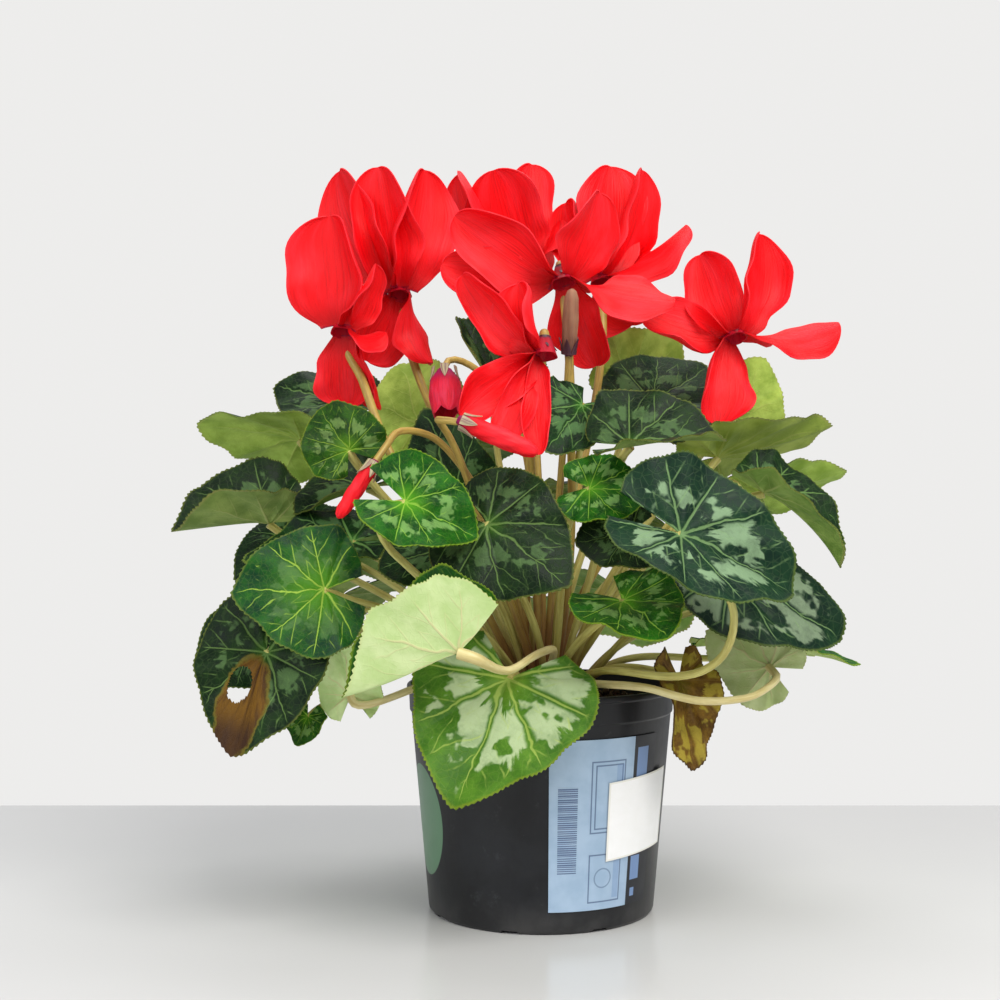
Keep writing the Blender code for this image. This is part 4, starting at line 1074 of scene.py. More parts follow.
def make_pot_finish():
    """Black moulded plastic: grain, faint upright flow marks, scuffs and dust, and a green printed spot."""
    made, net, shader = new_material("pot_plastic", 0.35, Specular_IOR_Level=0.3)
    place = place_on_object(net)
    x, y, z = net.parts(place)
    grain = net.noise(place, 2600.0, 2.0)
    cloud = net.noise(place, 38.0, 4.0, 0.6)
    flow = net.noise(net.vector(net.times(x, 260.0), net.times(y, 260.0),
                                net.times(z, 9.0)), 1.0, 2.0)
    scuff = net.ramp(net.noise(place, 120.0, 6.0, 0.75), 0.56, 0.74)
    low = net.ramp(z, 0.016, 0.0, 0.0, 1.0)
    colour = net.mix(net.ramp(cloud, 0.35, 0.7), rgb(22, 23, 26), rgb(34, 36, 40))
    colour = net.mix(net.times(scuff, 0.25), colour, rgb(86, 88, 92))
    colour = net.mix(net.times(low, net.ramp(cloud, 0.4, 0.65, 0.1, 0.5)), colour, rgb(78, 76, 74))
    turn = net.math("ARCTAN2", y, x)
    across = net.times(net.minus(turn, math.radians(SPOT_MIDDLE)), POT_BASE_RADIUS * MM)
    above = net.minus(z, SPOT_HEIGHT * MM)
    spot = net.distance(net.over(across, SPOT_HALF_WIDTH * MM), net.over(above, SPOT_HALF_HEIGHT * MM))
    outside = net.ramp(net.distance(x, y), (POT_BASE_RADIUS - 1.0) * MM, (POT_BASE_RADIUS - 0.5) * MM)
    printed = net.times(net.ramp(spot, 1.0, 0.985), outside)
    net.set(shader.inputs["Base Color"], net.mix(printed, colour, rgb(104, 142, 112)))
    rough = net.times_plus(scuff, 0.15, net.ramp(cloud, 0.3, 0.7, 0.3, 0.42))
    net.set(shader.inputs["Roughness"], rough)
    height = net.times_plus(grain, 0.25, net.times(flow, 0.6))
    net.set(shader.inputs["Normal"], net.bump(height, 0.00025, 0.5))
    return made


def make_print_finish():
    """A pale blue printed panel with a bar block, ruled frames and small patches, and no lettering."""
    made, net, shader = new_material("print_ink", 0.4, Specular_IOR_Level=0.45)
    panel = map_place(net, "panel")
    x, y, _ = net.parts(panel)

    def block(middle_x, middle_y, half_width, half_height):
        return net.group("Print block", Panel=panel, Middle_X=middle_x, Middle_Y=middle_y,
                         Half_Width=half_width, Half_Height=half_height)

    cloud = net.noise(panel, 0.12, 3.0)
    blue = net.mix(net.ramp(cloud, 0.3, 0.7), rgb(156, 182, 208), rgb(170, 194, 218))
    ink = rgb(58, 80, 122)
    colour = net.mix(block(*BLUE_FIELD)["Inside"], rgb(32, 34, 40), blue)
    run = net.times(y, 1.25)
    widths = net.add("TexWhiteNoise", {"W": net.math("FLOOR", run)}, noise_dimensions="1D").outputs[0]
    stripes = net.math("GREATER_THAN", net.math("FRACT", run), net.times_plus(widths, 0.45, 0.22))
    bars = net.times(block(*BAR_BLOCK)["Inside"], stripes)
    colour = net.mix(net.times(bars, 0.85), colour, ink)
    for frame_block in RULED_FRAMES:
        colour = net.mix(net.times(block(*frame_block)["Frame"], 0.75), colour, ink)
    for tint in TINTED_BLOCKS:
        colour = net.mix(net.times(block(*tint)["Inside"], 0.35), colour, rgb(96, 132, 186))
    for patch in BLUE_PATCHES:
        colour = net.mix(block(*patch)["Inside"], colour, rgb(118, 146, 190))
    off_ring = net.minus(net.distance(net.minus(x, DOT_RING[0]), net.minus(y, DOT_RING[1])), DOT_RING[2])
    ring = net.ramp(net.absolute(off_ring), 0.35, 0.2)
    colour = net.mix(net.times(ring, 0.5), colour, ink)
    net.set(shader.inputs["Base Color"], colour)
    net.set(shader.inputs["Roughness"], net.ramp(cloud, 0.3, 0.7, 0.34, 0.46))
    net.set(shader.inputs["Normal"], net.bump(net.noise(panel, 3.0, 2.0), 0.00006, 0.3))
    return made


def make_sticker_finish():
    """Bare white paper with painted shade round its rim, and paper tooth."""
    made, net, shader = new_material("sticker_paper", 0.5, Specular_IOR_Level=0.3)
    panel = map_place(net, "panel")
    cloud = net.noise(panel, 0.2, 4.0)
    inside = net.group("Print block", Panel=panel, Middle_X=0.0, Middle_Y=STICKER_MIDDLE,
                       Half_Width=STICKER_HALF_WIDTH - STICKER_RIM,
                       Half_Height=STICKER_HALF_HEIGHT - STICKER_RIM)["Inside"]
    colour = net.mix(net.ramp(cloud, 0.3, 0.7), rgb(250, 250, 249), rgb(254, 254, 254))
    # Painted shade along the sticker's rim.
    net.set(shader.inputs["Base Color"], net.mix(inside, rgb(240, 238, 230), colour))
    net.set(shader.inputs["Normal"], net.bump(net.noise(panel, 6.0, 3.0), 0.00002, 0.3))
    return made


def make_soil_finish(name, dark, light, fleck):
    """Crumbly mix: dark and light crumbs, and now and then a pale fleck."""
    made, net, shader = new_material(name, 0.9, Specular_IOR_Level=0.2)
    place = place_on_object(net)
    crumb = net.noise(place, 420.0, 5.0, 0.7)
    flecks = net.ramp(net.noise(place, 900.0, 2.0), 0.66, 0.72)
    colour = net.mix(net.ramp(crumb, 0.35, 0.7), dark, light)
    net.set(shader.inputs["Base Color"], net.mix(net.times(flecks, 0.6), colour, fleck))
    net.set(shader.inputs["Normal"], net.bump(crumb, 0.0012, 0.8))
    return made


def make_finishes():
    """Every material, by name."""
    make_groups()
    made = {name: make_upper(name, values) for name, values in UPPER_FINISHES.items()}
    made |= {name: make_under(name, values) for name, values in UNDER_FINISHES.items()}
    for name, (kind, values) in OWN_MARKINGS.items():
        made[name] = make_upper(name + "_markings", UPPER_FINISHES[kind] | values)
    made |= {name: make_petal(name, values) for name, values in PETAL_FINISHES.items()}
    made |= {name: make_stalk(name, values) for name, values in STALK_FINISHES.items()}
    made["pot"] = make_pot_finish()
    made["print_panel"] = make_print_finish()
    made["price_sticker"] = make_sticker_finish()
    made["soil"] = make_soil_finish("soil_mix", rgb(34, 24, 18), rgb(82, 60, 42), rgb(170, 150, 120))
    made["tuber"] = make_soil_finish("tuber_cork", rgb(84, 54, 36), rgb(140, 100, 66), rgb(176, 140, 96))
    return made


# Meshes

def placed(name, data):
    """A new object in the scene."""
    obj = bpy.data.objects.new(name, data)
    bpy.context.scene.collection.objects.link(obj)
    return obj


def finish_mesh(name, vertices, faces, maps, materials, slots=None, sharp=50):
    """An object from points in millimetres, its faces, and maps that give each point a place in a finish."""
    mesh = bpy.data.meshes.new(name)
    mesh.from_pydata((np.asarray(vertices) * MM).tolist(), [], faces)
    corners = np.zeros(len(mesh.loops), np.int32)
    mesh.loops.foreach_get("vertex_index", corners)
    for label, places in maps.items():
        values = np.asarray(places, np.float32)[corners].ravel()
        mesh.uv_layers.new(name=label).data.foreach_set("uv", values)
    if slots is not None:
        mesh.polygons.foreach_set("material_index", slots)
    for one in materials:
        mesh.materials.append(FINISHES[one])
    shape = bmesh.new()
    shape.from_mesh(mesh)
    bmesh.ops.remove_doubles(shape, verts=shape.verts, dist=MERGE * MM)
    shape.to_mesh(mesh)
    shape.free()
    mesh.shade_smooth()
    mesh.set_sharp_from_angle(angle=math.radians(sharp))
    return placed(name, mesh)


def grid_cells(rows, columns):
    """The corners of each cell of a grid of points."""
    index = np.arange(rows * columns).reshape(rows, columns)
    return np.stack([index[:-1, :-1], index[1:, :-1], index[1:, 1:], index[:-1, 1:]], axis=2).reshape(-1, 4)


def sheet_parts(points, thickness, keep=None):
    """A closed sheet about a grid of points: its vertices, faces and face sides, 0 above and 1 below.
    keep says which cells of the grid are there."""
    rows, columns = points.shape[:2]
    normal = np.cross(np.gradient(points, axis=0), np.gradient(points, axis=1))
    size = np.linalg.norm(normal, axis=2, keepdims=True)
    normal = normal / np.maximum(size, 1e-9)
    if np.ptp(points[0], axis=0).max() < 1e-6:
        normal[0] = unit(normal[1].mean(axis=0))
    lift = normal.reshape(-1, 3) * thickness / 2
    flat = points.reshape(-1, 3)
    total = rows * columns
    cells = grid_cells(rows, columns)
    if keep is not None:
        cells = cells[keep.ravel()]
    edges = np.concatenate([cells[:, [0, 1]], cells[:, [1, 2]], cells[:, [2, 3]], cells[:, [3, 0]]])
    rim = edges[~np.isin(edges[:, 0] * total + edges[:, 1], edges[:, 1] * total + edges[:, 0])]
    faces = np.vstack([
        cells, cells[:, ::-1] + total,
        np.stack([rim[:, 1], rim[:, 0], rim[:, 0] + total, rim[:, 1] + total], axis=1),
    ])
    slots = np.concatenate([np.zeros(len(cells)), np.ones(len(cells)), np.zeros(len(rim))]).astype(int)
    return np.vstack([flat + lift, flat - lift]), faces, slots


def sheet(name, points, thickness, maps, materials, keep=None):
    """A closed sheet as an object, with one finish, or one above and one below."""
    vertices, faces, slots = sheet_parts(points, thickness, keep)
    doubled = {label: np.tile(places.reshape(-1, 2), (2, 1)) for label, places in maps.items()}
    slots = np.minimum(slots, len(materials) - 1)
    return finish_mesh(name, vertices, faces.tolist(), doubled, materials, slots)


def growth(count, seed, age=0.5):
    """The same seed and age for every point of a piece."""
    return np.tile((seed, age), (count, 1))


def ring_faces(rings, sides):
    """Faces between rings of sides + 1 points, and the two ends."""
    sides_of_rings = grid_cells(rings, sides + 1)[:, [0, 3, 2, 1]]
    last = (rings - 1) * (sides + 1)
    return [*sides_of_rings.tolist(), list(range(sides))[::-1], list(range(last, last + sides))]


def round_axis(axis):
    """Two directions that stand at right angles to an axis and to each other."""
    across = unit(np.cross(axis, SLANT))
    return across, np.cross(axis, across)


def circle(turn, across, other):
    """The direction at each turn round an axis."""
    return np.cos(turn)[:, None] * across + np.sin(turn)[:, None] * other


def rod_parts(path, radii, sides, scallop=None):
    """A rod along a curved path: its vertices, faces and places round and along it.
    scallop gives each ring its radius over the plain one at each turn."""
    tangent = np.gradient(path, axis=0)
    tangent /= np.linalg.norm(tangent, axis=1, keepdims=True)
    across, _ = round_axis(tangent[0])
    turn = np.linspace(0, 2 * math.pi, sides + 1)
    run = np.concatenate([[0], np.cumsum(np.linalg.norm(np.diff(path, axis=0), axis=1))])
    vertices = []
    places = []
    for step, (place, way, radius) in enumerate(zip(path, tangent, radii)):
        across = unit(across - way * across.dot(way))
        grown = radius * (scallop(step / (len(path) - 1), turn) if scallop else np.ones(sides + 1))
        vertices.append(place + grown[:, None] * circle(turn, across, np.cross(way, across)))
        places.append(np.stack([turn / (2 * math.pi), np.full(sides + 1, run[step])], axis=1))
    return np.vstack(vertices), ring_faces(len(path), sides), np.vstack(places)


def rod(name, path, radii, sides, material, seed, label="run", scallop=None, scale=1.0):
    """A rod as an object. label names its map, and scale turns millimetres along the rod into the map's."""
    vertices, faces, places = rod_parts(np.asarray(path, float), radii, sides, scallop)
    maps = {label: places * (1.0, scale), "growth": growth(len(vertices), seed)}
    return finish_mesh(name, vertices, faces, maps, [material])


def merged(parts):
    """Several (vertices, faces, places) as one."""
    vertices = []
    faces = []
    places = []
    count = 0
    for more, their_faces, their_places in parts:
        vertices.append(more)
        faces.extend([[corner + count for corner in face] for face in their_faces])
        places.append(their_places)
        count += len(more)
    return np.vstack(vertices), faces, np.vstack(places)


def shown(piece, node, slot):
    """The piece moves with the one body and stands for its solid. slot is not used."""
    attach(piece, "root")
    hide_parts(node)
    return piece


SLOTS = {entry["node"]: entry["material_slot"] for entry in frame["record"]["subparts"]}


# Pot, soil, tuber and labels

def turned(profile, sides):
    """Points and faces of a profile turned about Z. The profile runs down the outer side."""
    turn = np.linspace(0, 2 * math.pi, sides + 1)
    profile = np.array(profile, float)
    points = np.stack([
        profile[:, 0, None] * np.cos(turn), profile[:, 0, None] * np.sin(turn),
        np.repeat(profile[:, 1, None], sides + 1, axis=1),
    ], axis=2)
    return points, grid_cells(len(profile), sides + 1).tolist()


def spun(name, profile, sides, material):
    """A closed solid of revolution about Z."""
    points, faces = turned(profile, sides)
    return finish_mesh(name, points.reshape(-1, 3), faces, {}, [material], sharp=CREASE)


def rounded(profile, reach, steps=4):
    """The profile with every corner but its ends eased into a short curve."""
    eased = [profile[0]]
    for before, corner, after in zip(profile, profile[1:], profile[2:]):
        before, corner, after = (np.array(one, float) for one in (before, corner, after))
        start = corner + (before - corner) * min(0.5, reach / np.linalg.norm(before - corner))
        end = corner + (after - corner) * min(0.5, reach / np.linalg.norm(after - corner))
        for share in np.linspace(0, 1, steps):
            eased.append(tuple(arc(start, corner, end, share)))
    return [*eased, profile[-1]]


def cut_by(obj, cutters):
    """The object with the cutters taken away, as one plain mesh."""
    for cutter in cutters:
        cut = obj.modifiers.new("Cut", "BOOLEAN")
        cut.operation = "DIFFERENCE"
        cut.solver = "EXACT"
        cut.object = cutter
    graph = bpy.context.evaluated_depsgraph_get()
    mesh = bpy.data.meshes.new_from_object(obj.evaluated_get(graph))
    obj.modifiers.clear()
    obj.data = mesh
    mesh.set_sharp_from_angle(angle=math.radians(CREASE))
    for cutter in cutters:
        bpy.data.objects.remove(cutter, do_unlink=True)
    return obj


def notch_shape(shape):
    bmesh.ops.create_cube(shape, size=MM)
    bmesh.ops.scale(shape, vec=NOTCH_SIZE, verts=shape.verts)
    bmesh.ops.bevel(shape, geom=shape.edges, offset=0.5 * MM, segments=2, affect="EDGES")


def drain_shape(shape):
    radius = DRAIN_RADIUS * MM
    bmesh.ops.create_cone(shape, cap_ends=True, segments=40, radius1=radius, radius2=radius, depth=6 * MM)


def base_cutters():
    """Cutters for the notches in the foot and for the drain holes, evenly round the pot."""
    cutters = []
    for make, count, out, first in (
        (notch_shape, NOTCH_COUNT, POT_BASE_RADIUS + 1.0, NOTCH_TURN),
        (drain_shape, DRAIN_COUNT, DRAIN_RING, DRAIN_TURN),
    ):
        for azimuth in first + np.arange(count) * 2 * math.pi / count:
            shape = bmesh.new()
            make(shape)
            mesh = bpy.data.meshes.new("cutter")
            shape.to_mesh(mesh)
            shape.free()
            obj = placed("cutter", mesh)
            obj.location = (out * math.cos(azimuth) * MM, out * math.sin(azimuth) * MM, 0)
            obj.rotation_euler = (0, 0, azimuth)
            cutters.append(obj)
    return cutters


def build_pot():
    """The shell, with its lip and step, and what is cut from its base."""
    under_lip = POT_HEIGHT - RIM_LIP
    step = POT_HEIGHT - STEP_DROP
    inner_base = wall_radius(POT_FLOOR) - POT_WALL
    profile = [
        (0.0, POT_FLOOR),
        (inner_base - 0.8, POT_FLOOR),
        (inner_base, POT_FLOOR + 0.8),
        (wall_radius(step) - POT_WALL, step),
        (POT_RIM_RADIUS - RIM_INSET - POT_WALL, step + 1.0),
        (POT_RIM_RADIUS - 0.7 - POT_WALL, POT_HEIGHT - 0.2),
        (POT_RIM_RADIUS - 0.4 - POT_WALL, POT_HEIGHT),
        (POT_RIM_RADIUS - 0.5, POT_HEIGHT),
        (POT_RIM_RADIUS, POT_HEIGHT - 0.6),
        (POT_RIM_RADIUS, under_lip),
        (POT_RIM_RADIUS - 0.9, under_lip - 0.5),
        (POT_RIM_RADIUS - RIM_INSET, step + 0.6),
        (wall_radius(step), step),
        (wall_radius(40.0), 40.0),
        (wall_radius(1.2), 1.2),
        (POT_BASE_RADIUS - 0.8, 0.0),
        (0.0, 0.0),
    ]
    pot = spun("pot_shell", rounded(profile, 0.35), 180, "pot")
    shown(cut_by(pot, base_cutters()), "pot", SLOTS["pot"])


def lumpy(vertices, size, scale):
    """Points moved along their own noise."""
    moves = [noise.noise_vector(Vector(place * scale)) for place in vertices]
    return vertices + size * np.array(moves)


def crumbs(outer):
    """Loose crumbs that lie on the mix, out to a radius."""
    shape = bmesh.new()
    bmesh.ops.create_icosphere(shape, subdivisions=2, radius=1.0)
    ball = np.array([vertex.co for vertex in shape.verts])
    faces = [[vertex.index for vertex in face.verts] for face in shape.faces]
    shape.free()
    parts = []
    for _ in range(CRUMBS):
        azimuth = RANDOM.uniform(0, 2 * math.pi)
        radius = math.sqrt(RANDOM.uniform(CRUMB_FREE_RADIUS**2, outer**2))
        size = RANDOM.uniform(*CRUMB_SIZES)
        stretch = RANDOM.uniform(0.6, 1.3, 3) * size
        height = SOIL_TOP + 0.3 + size * 0.3
        middle = np.array((radius * math.cos(azimuth), radius * math.sin(azimuth), height))
        parts.append((lumpy(ball * stretch + middle, 0.5 * size, 0.9), faces, np.zeros((len(ball), 2))))
    return parts


def build_soil():
    """The plug of mix, with a rough top and loose crumbs on it."""
    outer = POT_RIM_RADIUS - RIM_INSET - POT_WALL - GAP
    inner_base = wall_radius(POT_FLOOR) - POT_WALL
    step = POT_HEIGHT - STEP_DROP
    under_tuber = TUBER_CENTRE - TUBER_HALF_HEIGHT
    radii = np.linspace(20.0, outer - 1.2, 26)
    profile = [
        (0.0, under_tuber + 1.0),
        (12.0, under_tuber + 3.0),
        *((radius, SOIL_TOP - 0.4 + 0.6 * math.sin(radius)) for radius in radii),
        (outer - 0.3, SOIL_TOP - 2.0),
        (wall_radius(step) - POT_WALL - GAP - 0.4, step - 1.0),
        (inner_base - GAP - 0.5, POT_FLOOR + 2.2),
        (inner_base - 2.0, POT_FLOOR + GAP + 0.3),
        (0.0, POT_FLOOR + GAP + 0.3),
    ]
    points, faces = turned(profile, 144)
    rough = lumpy(points.reshape(-1, 3), 1.3, 0.22).reshape(points.shape)
    rough[:, -1] = rough[:, 0]
    height = points[..., 2]
    points[..., 2] = np.where(height > SOIL_TOP - 1.5, rough[..., 2], height)
    plug = (points.reshape(-1, 3), faces, np.zeros((height.size, 2)))
    vertices, faces, _ = merged([plug, *crumbs(outer - 2.5)])
    shown(finish_mesh("soil_mix", vertices, faces, {}, ["soil"]), "soil", SLOTS["soil"])


def build_tuber():
    """A flattened, knobbly ball."""
    profile = [
        (TUBER_RADIUS * math.sin(angle), TUBER_CENTRE + TUBER_HALF_HEIGHT * math.cos(angle))
        for angle in np.linspace(0, math.pi, 40)
    ]
    tuber = spun("tuber_ball", profile, 96, "tuber")
    places = np.array([vertex.co for vertex in tuber.data.vertices]) / MM
    places = lumpy(lumpy(places, 0.9, 0.12), 0.5, 0.45)
    tuber.data.vertices.foreach_set("co", (places * MM).ravel())
    shown(tuber, "tuber", SLOTS["tuber"])


def build_labels():
    """Thin skins that follow the round of the wall."""
    for name, middle, half_width, low, high, rise, thickness, stand_off in LABELS:
        across, up = np.meshgrid(np.linspace(-1, 1, 49), np.linspace(0, 1, 25))
        height = low + (high - low) * up + rise * across / 2
        radius = wall_radius(height) + stand_off + thickness / 2
        azimuth = math.radians(middle) + across * half_width / wall_radius((low + high) / 2)
        points = np.stack([radius * np.cos(azimuth), radius * np.sin(azimuth), height], axis=2)
        panel = {"panel": np.stack([across * half_width, low + (high - low) * up], axis=2)}
        shown(sheet(name + "_skin", points, thickness, panel, [name]), name, SLOTS[name])


# Leaves

def detailed_blade(shape, turn, out):
    """Points of a blade with its teeth, the quilting between its veins and the dip where the stalk joins,
    and where each point lies on the flat blade over its length."""
    length = blade_length(shape)
    angle = blade_angle(shape, turn)
    reach = outline_radius(angle) * length * out
    own = np.random.default_rng(int(abs(shape.hub[0]) * 131 + abs(shape.hub[1]) * 17 + shape.hub[2]))
    teeth = own.uniform(0.35, 1.0, out.shape[1]) * np.where(np.arange(out.shape[1]) % 2, -1.0, 0.4)
    reach = reach + np.where(out > 0.99, 1.0, 0.0) * teeth * TOOTH_SIZE * min(1.0, length / FULL_LENGTH)
    phase = own.uniform(0, 2 * math.pi, 3)
    uneven = np.sin(4 * angle + phase[0]) + 0.6 * np.sin(9 * angle + phase[1])
    reach = reach * (1 + MARGIN_SWELL * out**2 * uneven)
    side, ahead = laid_flat(shape, angle, reach)
    places = np.stack([side, ahead], axis=2) / length
    between = np.abs(np.sin(math.pi * angle / VEIN_STEP))
    lift = ruffled(shape, angle, out)
    lift = lift + QUILT * length * (between - 0.5) * np.sin(math.pi * np.minimum(out * 0.72, 1.0))
    lift = lift + MARGIN_FRILL * length * out**4 * np.sin(13 * angle + phase[2])
    lift = lift - FUNNEL * np.exp(-((out / FUNNEL_REACH) ** 2))
    return bent(shape, side, ahead, lift), places


def outside_hole(name, places):
    """Which cells of a blade are there round its hole."""
    middle_side, middle_ahead, half_side, half_ahead = HOLES[name]
    cell = (places[:-1, :-1] + places[1:, 1:]) / 2
    aside = (cell[..., 0] - middle_side) / half_side
    beyond = (cell[..., 1] - middle_ahead) / half_ahead
    return aside**2 + beyond**2 > 1


def leaf_blade(shape, seed, age):
    """A blade with a fine margin, and a hole if it has one."""
    torn = shape.name in HOLES
    teeth = int(blade_length(shape) * MARGIN_LENGTH / TOOTH_PITCH)
    rings = np.linspace(0, 1, TORN_RINGS) if torn else BLADE_RINGS
    turn, out = np.meshgrid(np.linspace(-1, 1, 2 * teeth + 1), rings)
    points, places = detailed_blade(shape, turn, out)
    maps = {
        "blade": places,
        "spread": np.stack([turn, out], axis=2),
        "growth": growth(turn.size, seed, age),
    }
    upper, under = SIDES[shape.tone]
    if shape.name in OWN_MARKINGS:
        upper = shape.name
    keep = outside_hole(shape.name, places) if torn else None
    return sheet(shape.name + "_blade", points, BLADE_SKIN, maps, [upper, under], keep)


def leaf_stalk(shape, path, seed):
    """A stalk that comes up into the dip of its blade and broadens there."""
    hub, along, _, face = blade_frame(shape)
    path = path.copy()
    path[-1] = hub - face * (FUNNEL + 0.3) + along * 0.4
    share = np.linspace(0, 1, STALK_RINGS)
    flare, run = BROAD_FLARE if shape.name in BROADENED else FLARE
    broader = flare * np.exp(-((1 - share) * blade_length(shape) / run) ** 2)
    bulge = 1.0 + STALK_BELLY * np.sin(math.pi * share) + broader
    radii = np.linspace(STALK_RADIUS, STALK_TIP_RADIUS, STALK_RINGS) * bulge
    material = "stalk_pale" if shape.tone == "pale" else "stalk"
    return rod(shape.name + "_stalk", through(path, STALK_RINGS), radii, STALK_SIDES, material, seed)


def build_leaves(paths):
    for index, shape in enumerate(LEAVES):
        seed = LEAF_SEED_STEP * index
        age = (index * LEAF_AGE_STEP) % 1.0
        path, _ = paths[shape.name]
        for piece in (leaf_blade(shape, seed, age), leaf_stalk(shape, path, seed)):
            shown(piece, shape.name, SLOTS[shape.name])


# Flowers and buds

def petal_outline(share):
    """Half width of a petal over its greatest, narrow at the throat and broad towards its blunt end."""
    swell = 0.36 + 0.64 * np.sin(math.pi / 2 * np.clip(share / 0.62, 0, 1)) ** 1.3
    past = np.clip((share - 0.58) / 0.42, 0, 1)
    return swell * (1 - past**2.7) ** 0.48


def petal_section(own, share, across):
    """Place beside and depth of each point over a petal's half width, hollowed and rolled at its edges."""
    bend = np.radians(own.uniform(*PETAL_HOLLOW)) * (0.75 + 0.5 * share)
    curl = np.radians(own.uniform(-1, 1, 2) * PETAL_EDGE_CURL)
    roll = np.sign(across) * np.abs(across) ** 3 * np.where(across < 0, *curl)
    swing = across * bend * 0.5 + roll * np.sin(math.pi * share)
    slope = (swing[:, 1:] + swing[:, :-1]) / 2
    for rise in (np.cos(slope), -np.sin(slope)):
        run = np.cumsum(np.hstack([np.zeros((PETAL_RINGS, 1)), rise]), axis=1) * np.diff(across)[0]
        yield run - run[:, [PETAL_LINES // 2]]


def petal_sheet(shape, petal, seed):
    """A petal from the flower's mouth to its tip, hollowed or rolled along its length, with a wavy edge."""
    tip, width, twist = petal
    fullness = 1.0 if twist >= FLAT_TWIST else PETAL_FULLNESS
    own = np.random.default_rng(int(seed * 10))
    mouth = unit(shape.mouth)
    way = np.array(tip, float)
    reach = np.linalg.norm(way)
    sideways = unit(way - mouth * way.dot(mouth))
    start = shape.centre + sideways * (CUP_MOUTH_RADIUS - 1.0)
    end = shape.centre + way
    bow = start + mouth * PETAL_RISE + way * 0.3
    share = np.sin(np.linspace(0, math.pi / 2, PETAL_RINGS))[:, None] ** 1.2
    middle = arc(start, bow, end, share)
    tangent = 2 * (1 - share) * (bow - start) + 2 * share * (end - bow)
    tangent /= np.linalg.norm(tangent, axis=1, keepdims=True)
    level = np.cross(sideways, mouth)
    twist = twist + own.uniform(-1, 1) * PETAL_TWIST_SPREAD
    angle = np.radians(twist) * np.sin(math.pi / 2 * np.minimum(1.0, 1.5 * share))
    edge = level * np.cos(angle) + np.cross(tangent, level) * np.sin(angle)
    out = np.cross(tangent, edge)
    half = fullness * width / 2 * petal_outline(share)
    phase = own.uniform(0, 2 * math.pi, 4)
    across = np.linspace(-1, 1, PETAL_LINES + 1)
    side, hollow = (section * half for section in petal_section(own, share, across))
    edge_side = np.sign(across)
    wave = reach * PETAL_SWAY * np.sin(4 * share + phase[1]) * share
    ease = np.minimum(1.0, 3 * share) * (1 - share**12)
    for (size, run, lead), first in zip(PETAL_WAVES, (phase[0], phase[2])):
        wave = wave + across**2 * reach * size * np.sin(run * share + first + lead * edge_side) * ease
    frill = np.sin(9 * share + phase[3] + 2.0 * edge_side) * np.minimum(1.0, 2 * share)
    side = side * (1 + PETAL_FRILL * frill)
    crease = PETAL_CREASE * half * np.exp(-((across / 0.12) ** 2)) * (1 - share)
    depth = hollow + wave - crease
    points = middle[:, None] + edge[:, None] * side[..., None] + out[:, None] * depth[..., None]
    return points, petal_maps(across, share, seed)


def petal_maps(across, share, seed):
    """Where each point lies across and along a petal."""
    places = np.stack(np.broadcast_arrays(across[None, :], share), axis=2)
    return {"petal": places, "growth": growth(places[..., 0].size, seed)}


def cup(name, base, axis, seed):
    """The hollow cup that a flower's petals stand on."""
    turn = np.linspace(0, 2 * math.pi, CUP_SIDES + 1)
    outward = (1 + CUP_SCALLOP * np.cos(5 * turn))[:, None] * circle(turn, *round_axis(axis))
    vertices = np.vstack([base + axis * along + radius * outward for along, radius in CUP_PROFILE])
    places = np.vstack([
        np.stack([turn / (2 * math.pi), np.full(len(turn), along / 10)], axis=1) for along, _ in CUP_PROFILE
    ])
    maps = {"petal": places, "growth": growth(len(vertices), seed)}
    return finish_mesh(name + "_cup", vertices, ring_faces(len(CUP_PROFILE), CUP_SIDES), maps, ["cup"])


def round_about(axis, count, first):
    """The way out from an axis, and the way beside it, for each of a ring of small pieces."""
    across, other = round_axis(axis)
    for turn in 2 * math.pi * (np.arange(count) + first) / count:
        outward = math.cos(turn) * across + math.sin(turn) * other
        yield outward, np.cross(axis, outward)


def hollowed(middle, half, cross, aside, outward, depth):
    """Points either side of a middle line, whose edges turn in towards the axis."""
    points = middle[:, None] + aside * (half * cross)[..., None]
    return points - outward * (depth * half * cross**2)[..., None]


def sepals(name, base, axis, length, width, radius, flare, material, seed):
    """Small pointed sepals that stand round an axis."""
    share = np.linspace(0, 1, 8)[:, None]
    cross = np.linspace(-1, 1, 5)
    half = width / 2 * (0.9 - 0.15 * share) * (1 - share**2.2) + 0.05
    run = np.stack(np.broadcast_arrays(cross[None, :] * 0.5, share * length), axis=2).reshape(-1, 2)
    parts = []
    for outward, aside in round_about(axis, SEPAL_COUNT, 0.3):
        middle = base + axis * length * share + outward * (radius + flare * share**2 - 0.3 * (1 - share))
        vertices, faces, _ = sheet_parts(hollowed(middle, half, cross, aside, outward, 0.3), SEPAL_SKIN)
        parts.append((vertices, faces.tolist(), np.tile(run, (2, 1))))
    vertices, faces, places = merged(parts)
    maps = {"run": places, "growth": growth(len(vertices), seed)}
    return finish_mesh(name + "_sepals", vertices, faces, maps, [material])


def stem_of(name, path, end_radius, seed):
    """The stem of a flower or a bud."""
    radii = np.linspace(STALK_RADIUS, end_radius, len(path)) * STEM_FULLNESS
    return rod(name + "_stem", path, radii, STALK_SIDES, "stem", seed)


def petal_piece(shape, number, points, maps, material):
    return sheet(f"{shape.name}_petal_{number + 1}", points, PETAL_SKIN, maps, [material])


def flower_pieces(shape, path, end_radius, seed):
    """A flower's stem, cup, sepals and petals."""
    mouth = unit(shape.mouth)
    base = cup_base(shape)
    path = np.vstack([through(path, STALK_RINGS)[:-1], through(crook(shape), 16)])
    yield stem_of(shape.name, path, end_radius, seed)
    yield cup(shape.name, base, mouth, seed)
    yield sepals(shape.name, base - mouth * 0.8, mouth, *FLOWER_SEPALS, "sepal", seed)
    for number, petal in enumerate(shape.petals):
        yield petal_piece(shape, number, *petal_sheet(shape, petal, seed + number), "petal")


